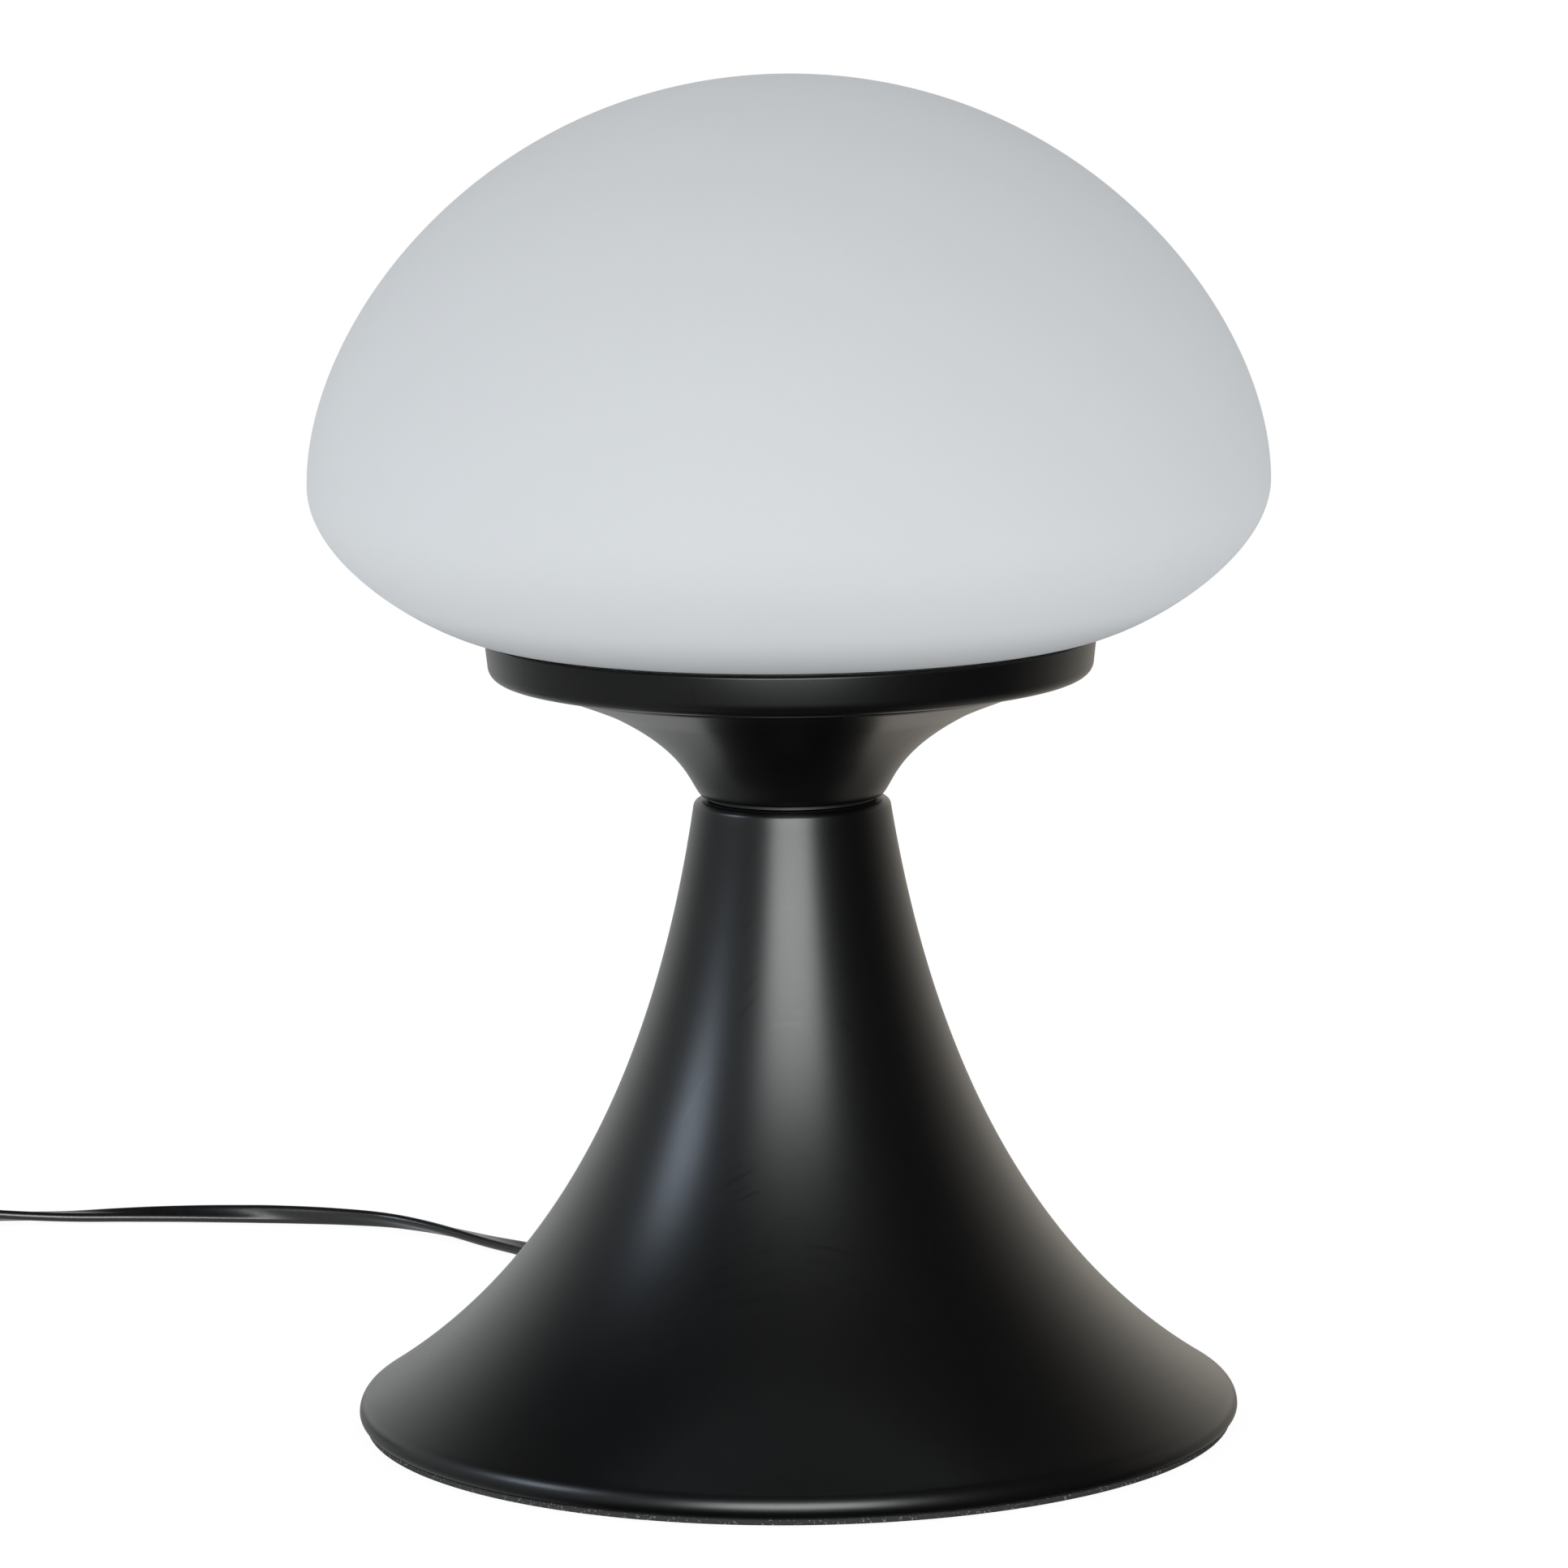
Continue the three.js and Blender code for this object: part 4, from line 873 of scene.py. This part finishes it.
def makeRingTree():
    tree = bpy.data.node_groups.new("ringOfCopies", "GeometryNodeTree")
    tree.interface.new_socket("Geometry", in_out="OUTPUT", socket_type="NodeSocketGeometry")
    sockets = {}
    for label, kind in (
        ("Copy", "Object"), ("Count", "Int"), ("Radius", "Float"), ("First Angle", "Float"), ("Level", "Float"),
        ("Finish", "Material"),
    ):
        made = tree.interface.new_socket(label, in_out="INPUT", socket_type="NodeSocket" + kind)
        sockets[label] = made.identifier
    given = tree.nodes.new("NodeGroupInput").outputs
    end = tree.nodes.new("NodeGroupOutput")
    index = addNode(tree, "GeometryNodeInputIndex").outputs[0]
    step = calculate(tree, "DIVIDE", 2 * math.pi, given["Count"])
    angle = calculate(tree, "ADD", multiply(tree, index, step), given["First Angle"])
    spot = addNode(tree, "ShaderNodeCombineXYZ", {
        "X": multiply(tree, calculate(tree, "COSINE", angle, 0.0), given["Radius"]),
        "Y": multiply(tree, calculate(tree, "SINE", angle, 0.0), given["Radius"]),
        "Z": given["Level"]})
    turned = addNode(tree, "ShaderNodeCombineXYZ", {"Z": angle})
    rotation = addNode(tree, "FunctionNodeEulerToRotation", {0: turned.outputs[0]})
    points = addNode(tree, "GeometryNodePoints", {"Count": given["Count"], "Position": spot.outputs[0]})
    copy = addNode(tree, "GeometryNodeObjectInfo", {"Object": given["Copy"], "As Instance": True})
    laid = addNode(tree, "GeometryNodeInstanceOnPoints", {
        "Points": points.outputs[0], "Instance": copy.outputs["Geometry"], "Rotation": rotation.outputs[0]})
    real = addNode(tree, "GeometryNodeRealizeInstances", {"Geometry": laid.outputs[0]})
    finished = addNode(tree, "GeometryNodeSetMaterial", {"Geometry": real.outputs[0], "Material": given["Finish"]})
    tree.links.new(finished.outputs[0], end.inputs[0])
    return tree, sockets


ringTree, ringSockets = makeRingTree()


def layRing(name, copy, look, slot, *stoodFor, finish=None):
    piece = addObject(name, bpy.data.meshes.new(name))
    modifier = piece.modifiers.new("ring", "NODES")
    modifier.node_group = ringTree
    for label, value in {
        "Copy": copy, "Count": look["count"], "Radius": look["circle"] * mm,
        "First Angle": math.radians(look["firstAngle"]), "Level": look["level"] * mm,
        "Finish": finishes[finish or slot],
    }.items():
        modifier[ringSockets[label]] = value
    place(applyModifiers(piece), slot, *stoodFor, finish=finish)


screw = {
    "shank": 1.5,
    "length": 4.5,
    "pitch": 0.7,
    "threadDepth": 0.22,
    "threadStart": 1.0,  # above the tip
    "unthreaded": 1.2,
    "tip": 0.4,
    "head": 2.8,
    "headHeight": 1.4,
    "headEdge": 0.35,
    "domeShares": (0.75, 0.62),  # of the head's height and radius, where its curve bends
    "recess": (0.75, 3.1, 0.8),  # width, span and depth of the cross
}


def makeScrew():
    ridges = []
    for i in range(int((screw["length"] - screw["unthreaded"]) / screw["pitch"])):
        level = i * screw["pitch"] - screw["length"] + screw["threadStart"]
        ridges += [(screw["shank"] - screw["threadDepth"], level), (screw["shank"], level + screw["pitch"] / 2)]
    head, edge, height = screw["head"], screw["headEdge"], screw["headHeight"]
    up, across = screw["domeShares"]
    piece = lathe("panScrew", chain(
        [(0, -screw["length"]), (screw["tip"], -screw["length"])],
        ridges,
        [(screw["shank"], 0), (head - edge / 2, 0)],
        bezierPoints((head, edge), (head, height * up), (head * across, height), (0, height), steps=10)), 28)
    # the recess is a cross that narrows downwards, cut by two crossed wedges
    width, span, depth = (v * mm for v in screw["recess"])
    top = height * mm
    for turn in (0, quarter):
        shape = bmesh.new()
        corners = [
            shape.verts.new((x * span / spanPart, y * width / widthPart, level))
            for spanPart, widthPart, level in ((2, 2, top + depth), (4, 3, top - depth))
            for x, y in ((-1, -1), (1, -1), (1, 1), (-1, 1))]
        for quad in ((0, 1, 2, 3), (7, 6, 5, 4), (4, 5, 1, 0), (5, 6, 2, 1), (6, 7, 3, 2), (7, 4, 0, 3)):
            shape.faces.new([corners[k] for k in quad])
        bmesh.ops.rotate(shape, verts=shape.verts, matrix=Matrix.Rotation(turn, 3, "Z"))
        cutWith(piece, pieceFrom(shape, "wedge"))
    return piece


boardScrews = {"count": 2, "circle": 18.0, "firstAngle": 0.0, "level": 174.1, "hole": 1.8}
screwCopy = makeScrew()
for name, look in (("carrier", carrierScrews), ("board", boardScrews)):
    stoodFor = [f"{name}_screw_{i + 1}" for i in range(look["count"])]
    layRing(name + "Screws", screwCopy, look, "zinc_steel", *stoodFor)

carrier = {
    "radius": 33.0,
    "wall": 1.2,
    "hat": 24.0,
    "bend": 1.6,
    "hole": 2.5,
    "level": 164.1,
    "top": 171.9,
    "foot": 0.6,  # the bend at the foot of the hat, and its middle point
    "footMiddle": (0.15, 0.18),
    "flangeDrill": (-2.0, 1.0),
    "topDrill": (-3.0, 1.0),
}


def makeCarrier():
    hat, bend, level, top = (carrier[key] for key in ("hat", "bend", "level", "top"))
    out, up = carrier["footMiddle"]
    path = chain(
        [(carrier["radius"], level), (hat + carrier["foot"], level), (hat + out, level + up)],
        [(hat, level + carrier["foot"])],
        arcPoints((hat - bend, top - bend), bend, 0, quarter, steps=8),
        [(carrier["hole"], top)],
    )
    piece = lathe("carrierHat", sheetLoop(path, carrier["wall"]), 128)
    drillHoles(piece, carrierScrews, *(level + d for d in carrier["flangeDrill"]))
    return drillHoles(piece, boardScrews, *(top + d for d in carrier["topDrill"]))


place(makeCarrier(), "carrier_aluminium", "led_carrier")

board = {"radius": 30.0, "thickness": 1.6, "bottom": 172.2, "edge": 0.15, "drillMargin": 1.0}


def makeBoard():
    low, high = board["bottom"], board["bottom"] + board["thickness"]
    radius, edge, margin = board["radius"], board["edge"], board["drillMargin"]
    piece = lathe("lightBoard", chain([
        (0, low), (radius - edge, low), (radius, low + edge), (radius, high - edge), (radius - edge, high),
        (0, high)]), 128)
    return drillHoles(piece, boardScrews, low - margin, high + margin)


place(makeBoard(), "light_board", "led_board")

chip = {
    "side": 2.8,
    "height": 0.72,
    "bevel": 0.16,
    "lens": 1.12,
    "lensSunk": 0.1,
    "lensEdge": 0.02,
    "lensRise": 0.12,
    "lensShoulder": (0.6, 0.8),  # shares of the lens's radius and rise
}
chipRings = [
    {"count": 5, "circle": 12.6, "firstAngle": 90.0, "level": 173.8},
    {"count": 11, "circle": 24.0, "firstAngle": 90.0, "level": 173.8},
]


def makeChip():
    side, height = chip["side"] * mm, chip["height"] * mm
    shape = bmesh.new()
    bmesh.ops.create_cube(shape, size=1, matrix=Matrix.Diagonal((side, side, height, 1)))
    bmesh.ops.bevel(
        shape, geom=shape.edges[:], offset=chip["bevel"] * mm, segments=2, affect="EDGES", profile=0.5)
    bmesh.ops.translate(shape, verts=shape.verts, vec=(0, 0, height / 2))
    return smoothShaded(pieceFrom(shape, "chip"), 50)


def makeLens():
    radius, top, rise = chip["lens"], chip["height"], chip["lensRise"]
    out, up = chip["lensShoulder"]
    return lathe("lens", chain([
        (0, top - chip["lensSunk"]), (radius, top - chip["lensSunk"]), (radius, top + chip["lensEdge"]),
        (radius * out, top + rise * up), (0, top + rise)]), 20)


chipCopy, lensCopy = makeChip(), makeLens()
for i, look in enumerate(chipRings):
    layRing(f"chipRing{i + 1}", chipCopy, look, "light_board", finish="chipPackage")
    layRing(f"chipLenses{i + 1}", lensCopy, look, "light_board", finish="chipPhosphor")
print("light board and its chips laid")

clips = {
    "count": 3,
    "circle": 0.0,
    "firstAngle": 30.0,
    "level": 171.1,
    "inner": 62.3,
    "fold": 1.15,
    "height": 4.4,
    "thickness": 0.5,
    "width": 8.0,
    "gap": 0.3,
    "bow": (0.05, 0.4),  # how far the inner leg bows, and how far from its middle
}


def makeClip():
    # a hairpin of strip, its section drawn along X and its width along Y
    inner, fold, height = clips["inner"], clips["fold"], clips["height"]
    outer = inner + 2 * fold + clips["gap"]
    inwards, reach = clips["bow"]
    path = chain(
        [(outer, 0)],
        arcPoints((outer - fold, height - fold), fold, 0, math.pi, steps=16),
        bezierPoints(
            (inner, height - fold), (inner - inwards, height / 2 + reach), (inner, height / 2 - reach),
            (inner + fold / 2, 0), steps=10))
    loop = sheetLoop(path, clips["thickness"], 4)
    half = clips["width"] / 2 * mm
    verts = [(x * mm, y, z * mm) for y in (-half, half) for x, z in loop]
    return editShape(newPiece("clip", verts, joinRings(2, len(loop)), 40), faceOutwards)


clipCopy = makeClip()
layRing("springClips", clipCopy, clips, "zinc_steel", "shade_clip_1", "shade_clip_2", "shade_clip_3")
for copy in (screwCopy, chipCopy, lensCopy, clipCopy):
    bpy.data.objects.remove(copy)

gasket = {"inner": 58.0, "outer": 62.0, "bottom": 169.6, "thickness": 1.5, "round": 0.5}


def makeGasket():
    inset = gasket["round"]
    low, high = gasket["bottom"] + inset, gasket["bottom"] + gasket["thickness"] - inset
    inner, outer = gasket["inner"] + inset, gasket["outer"] - inset
    return lathe("glassSeat", chain(*[
        arcPoints(corner, inset, turn * quarter, (turn + 1) * quarter, steps=5)
        for turn, corner in enumerate([(outer, low), (outer, high), (inner, high), (inner, low)], -1)]), 192)


place(makeGasket(), "gasket_rubber", "shade_gasket")
print("clips and gasket made")

adapter = {
    "centre": (-267.1, 118.9),
    "width": 34.0,
    "length": 56.0,
    "height": 27.0,
    "corner": 5.0,
    "leastCorner": 0.5,
    "cornerPoints": 9,
    "edge": 2.4,
    "split": 13.65,
    "splitGap": 0.15,  # on each side
    "groove": 0.3,  # the parting line's chamfer
    "slot": (2.1, 6.9, 12.7),  # width, length and spacing of the blades' slots
    "slotDepth": 4.3,
}


def roundedBlock(name, levels):
    # a rounded rectangle drawn at each (inset, height), joined and capped
    verts, count = [], adapter["cornerPoints"]
    for inset, level in levels:
        x, y = adapter["width"] / 2 - inset, adapter["length"] / 2 - inset
        corner = max(adapter["corner"] - inset, adapter["leastCorner"])
        for k, (sx, sy) in enumerate(((1, 1), (-1, 1), (-1, -1), (1, -1))):
            centre = (adapter["centre"][0] + sx * (x - corner), adapter["centre"][1] + sy * (y - corner))
            for spot in arcPoints(centre, corner, k * quarter, (k + 1) * quarter, count - 1):
                verts.append((spot[0] * mm, spot[1] * mm, level * mm))
    return newPiece(name, verts, joinRings(len(levels), 4 * count), 40)


def edgeLevels(upwards):
    edge, height = adapter["edge"], adapter["height"]
    turns = np.linspace(0, quarter, 7)
    if upwards:
        return [(edge * (1 - math.cos(t)), height - edge + edge * math.sin(t)) for t in turns]
    return [(edge * (1 - math.sin(t)), edge * (1 - math.cos(t))) for t in turns]


def slotCutter():
    width, length, spacing = adapter["slot"]
    x, y = adapter["centre"]
    size = Matrix.Diagonal((width * mm, length * mm, 2 * adapter["slotDepth"] * mm, 1))
    shape = bmesh.new()
    for side in (-1, 1):
        spot = ((x + side * spacing / 2) * mm, y * mm, adapter["height"] * mm)
        bmesh.ops.create_cube(shape, size=1, matrix=Matrix.Translation(spot) @ size)
    return pieceFrom(shape, "slots")


groove = adapter["groove"]
low, high = adapter["split"] - adapter["splitGap"], adapter["split"] + adapter["splitGap"]
coverPiece = roundedBlock("adapterBack", edgeLevels(False) + [(0, low - groove), (groove, low)])
casePiece = cutWith(roundedBlock("adapterFront", [(groove, high), (0, high + groove)] + edgeLevels(True)), slotCutter())
place(coverPiece, "adapter_plastic", "adapter_cover")
place(casePiece, "adapter_plastic", "adapter_case")
print("adapter moulded")


# Studio: a white floor and background, and two soft lamps, each with its own lamp for gloss

studio = {
    "floorSize": 14.0,
    "floorLevel": -0.0002,
    "ambient": 0.71,  # what the room gives to matt surfaces
    "mirrorFront": 0.04,  # what gloss sees in front, beside and above
    "mirrorLeft": 0.6,
    "mirrorBack": 1.0,  # the white background itself
    "leftGain": 0.15,  # how much brighter it is behind on the left
    # the parts of a direction between which the room's levels fade
    "highest": (0.3, 0.75),
    "behind": (-0.2, 0.9),
    "gainAcross": (-0.2, -0.75),
    "leftAcross": (-0.35, -0.75),
    "warmAcross": (-0.3, 0.3),
    "nearSides": (-0.8, -0.1),
    "nearReach": (0.14, 0.4),  # metres from the axis
    "mirrorNear": 0.5,  # the floor round the foot, apart from in front
    "mirrorFloor": 0.72,  # the rest of the floor's share of the room's levels
    "warm": (1.0, 0.94, 0.84, 1.0),
    "neutral": (0.98, 1.0, 1.0, 1.0),
    "floorAlbedo": 0.9,
    "floorWhite": 0.92,  # the rest of the floor's white comes from the light on it, so it keeps a shadow
    "floorGlow": 1.04,
    "floorBounce": 0.26,  # the bright table, as matt surfaces see it
}
white = (1, 1, 1, 1)


def rayKinds(tree):
    # whether a ray is a mirrored one, and whether the camera sees it directly or through glass
    rays = addNode(tree, "ShaderNodeLightPath").outputs
    return rays["Is Glossy Ray"], calculate(tree, "MAXIMUM", rays["Is Camera Ray"], rays["Is Transmission Ray"])


def mirrorLevel(tree, direction):
    # how bright the room looks in gloss: dark in front and above, lighter on the left, bright behind
    parts = axisParts(tree, direction)
    low = ease(tree, parts["Z"], *studio["highest"], 1.0, 0.0)
    behind = ease(tree, parts["Y"], *studio["behind"], 0.0, studio["mirrorBack"])
    gain = ease(tree, parts["X"], *studio["gainAcross"], 1.0, 1.0 + studio["leftGain"])
    left = ease(tree, parts["X"], *studio["leftAcross"], 0.0, studio["mirrorLeft"])
    bright = calculate(tree, "MAXIMUM", multiply(tree, behind, gain), left)
    return calculate(tree, "MAXIMUM", multiply(tree, bright, low), studio["mirrorFront"])


def mirrorColour(tree, direction):
    # warm on the right, neutral on the left
    side = ease(tree, axisParts(tree, direction)["X"], *studio["warmAcross"])
    return mixColour(tree, side, studio["neutral"], studio["warm"])


def makeWorld():
    world = bpy.data.worlds.new("studio")
    bpy.context.scene.world = world
    world.use_nodes = True
    world.cycles.sampling_method = "NONE"  # so that gloss sees the room's mirror level, not its ambient one
    tree = world.node_tree
    background = tree.nodes["Background"]
    glossy, seen = rayKinds(tree)
    direction = addNode(tree, "ShaderNodeTexCoord").outputs["Generated"]
    unseenLevel = mixValue(tree, glossy, studio["ambient"], mirrorLevel(tree, direction))
    glossOnly = multiply(tree, glossy, calculate(tree, "SUBTRACT", 1.0, seen))
    tree.links.new(mixColour(tree, glossOnly, white, mirrorColour(tree, direction)), background.inputs["Color"])
    tree.links.new(mixValue(tree, seen, unseenLevel, 1.0), background.inputs["Strength"])


def joinShaders(tree, kind, first, second, share=None):
    # either added or mixed: a mix has its share as the first input
    joined = addNode(tree, kind, {} if share is None else {0: share})
    for socket, source in zip(list(joined.inputs)[-2:], (first, second)):
        tree.links.new(source, socket)
    return joined.outputs[0]


def makeFloorMaterial():
    material = bpy.data.materials.new("floorWhite")
    material.use_nodes = True
    tree = material.node_tree
    tree.nodes.remove(tree.nodes["Principled BSDF"])
    glossy, seen = rayKinds(tree)
    matt = addNode(tree, "ShaderNodeBsdfDiffuse", {"Color": (studio["floorAlbedo"],) * 3 + (1,)})
    unseen = calculate(tree, "SUBTRACT", 1.0, seen)
    bounce = addNode(tree, "ShaderNodeEmission", {
        "Color": white, "Strength": multiply(tree, unseen, studio["floorBounce"])})
    glow = addNode(tree, "ShaderNodeEmission", {"Color": white, "Strength": studio["floorGlow"]})
    lit = joinShaders(tree, "ShaderNodeAddShader", matt.outputs[0], bounce.outputs[0])
    share = multiply(tree, seen, studio["floorWhite"])
    plain = joinShaders(tree, "ShaderNodeMixShader", lit, glow.outputs[0], share)
    spot = objectSpot(tree)
    outwards = addNode(tree, "ShaderNodeVectorMath", {0: spot}, operation="NORMALIZE").outputs["Vector"]
    reach = addNode(tree, "ShaderNodeVectorMath", {0: spot}, operation="LENGTH").outputs["Value"]
    sides = ease(tree, axisParts(tree, outwards)["Y"], *studio["nearSides"])
    near = multiply(tree, sides, ease(tree, reach, *studio["nearReach"], studio["mirrorNear"], 0.0))
    far = multiply(tree, mirrorLevel(tree, outwards), studio["mirrorFloor"])
    mirror = addNode(tree, "ShaderNodeEmission", {
        "Color": mirrorColour(tree, outwards), "Strength": calculate(tree, "MAXIMUM", far, near)})
    whole = joinShaders(tree, "ShaderNodeMixShader", plain, mirror.outputs[0], glossy)
    tree.links.new(whole, tree.nodes["Material Output"].inputs["Surface"])
    return material


def makeFloor():
    size = studio["floorSize"] / 2
    mesh = bpy.data.meshes.new("floor")
    mesh.from_pydata([(-size, -size, 0), (size, -size, 0), (size, size, 0), (-size, size, 0)], [], [(0, 1, 2, 3)])
    mesh.materials.append(makeFloorMaterial())
    floor = addObject("floor", mesh)
    floor.location.z = studio["floorLevel"]
    floor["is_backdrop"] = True


lamps = [
    {"name": "frontSoft", "at": (-0.05, -2.1, 0.68), "towards": (0, 0, 0.25), "size": (1.7, 1.1), "power": 7.7,
     "colour": (1, 0.99, 0.98), "gloss": False},
    {"name": "frontGloss", "at": (-0.05, -2.0, 0.66), "towards": (0, 0, 0.3), "size": (1.62, 1.05), "power": 86,
     "colour": (0.97, 1, 1), "matt": False},
    {"name": "leftSoft", "at": (-1.8, -0.5, 1.1), "towards": (0, 0, 0.12), "size": (0.8, 0.6), "power": 2.6,
     "colour": (0.78, 0.88, 1), "gloss": False},
    {"name": "leftGloss", "at": (-1.7, -0.47, 1.0), "towards": (0, 0, 0.12), "size": (0.6, 0.5), "power": 14,
     "colour": (0.72, 0.85, 1), "matt": False},
]


def softLamp(look):
    data = bpy.data.lights.new(look["name"], "AREA")
    data.shape = "RECTANGLE"
    data.size, data.size_y = look["size"]
    data.energy = look["power"]
    data.color = look["colour"]
    lamp = addObject(look["name"], data)
    lamp.visible_glossy = look.get("gloss", True)
    lamp.visible_diffuse = look.get("matt", True)
    lamp.location = look["at"]
    aim = Vector(look["towards"]) - Vector(look["at"])
    lamp.rotation_euler = aim.to_track_quat("-Z", "Y").to_euler()


makeWorld()
makeFloor()
for look in lamps:
    softLamp(look)
bpy.context.scene.view_settings.view_transform = "Standard"
print("studio lit")

low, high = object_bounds()
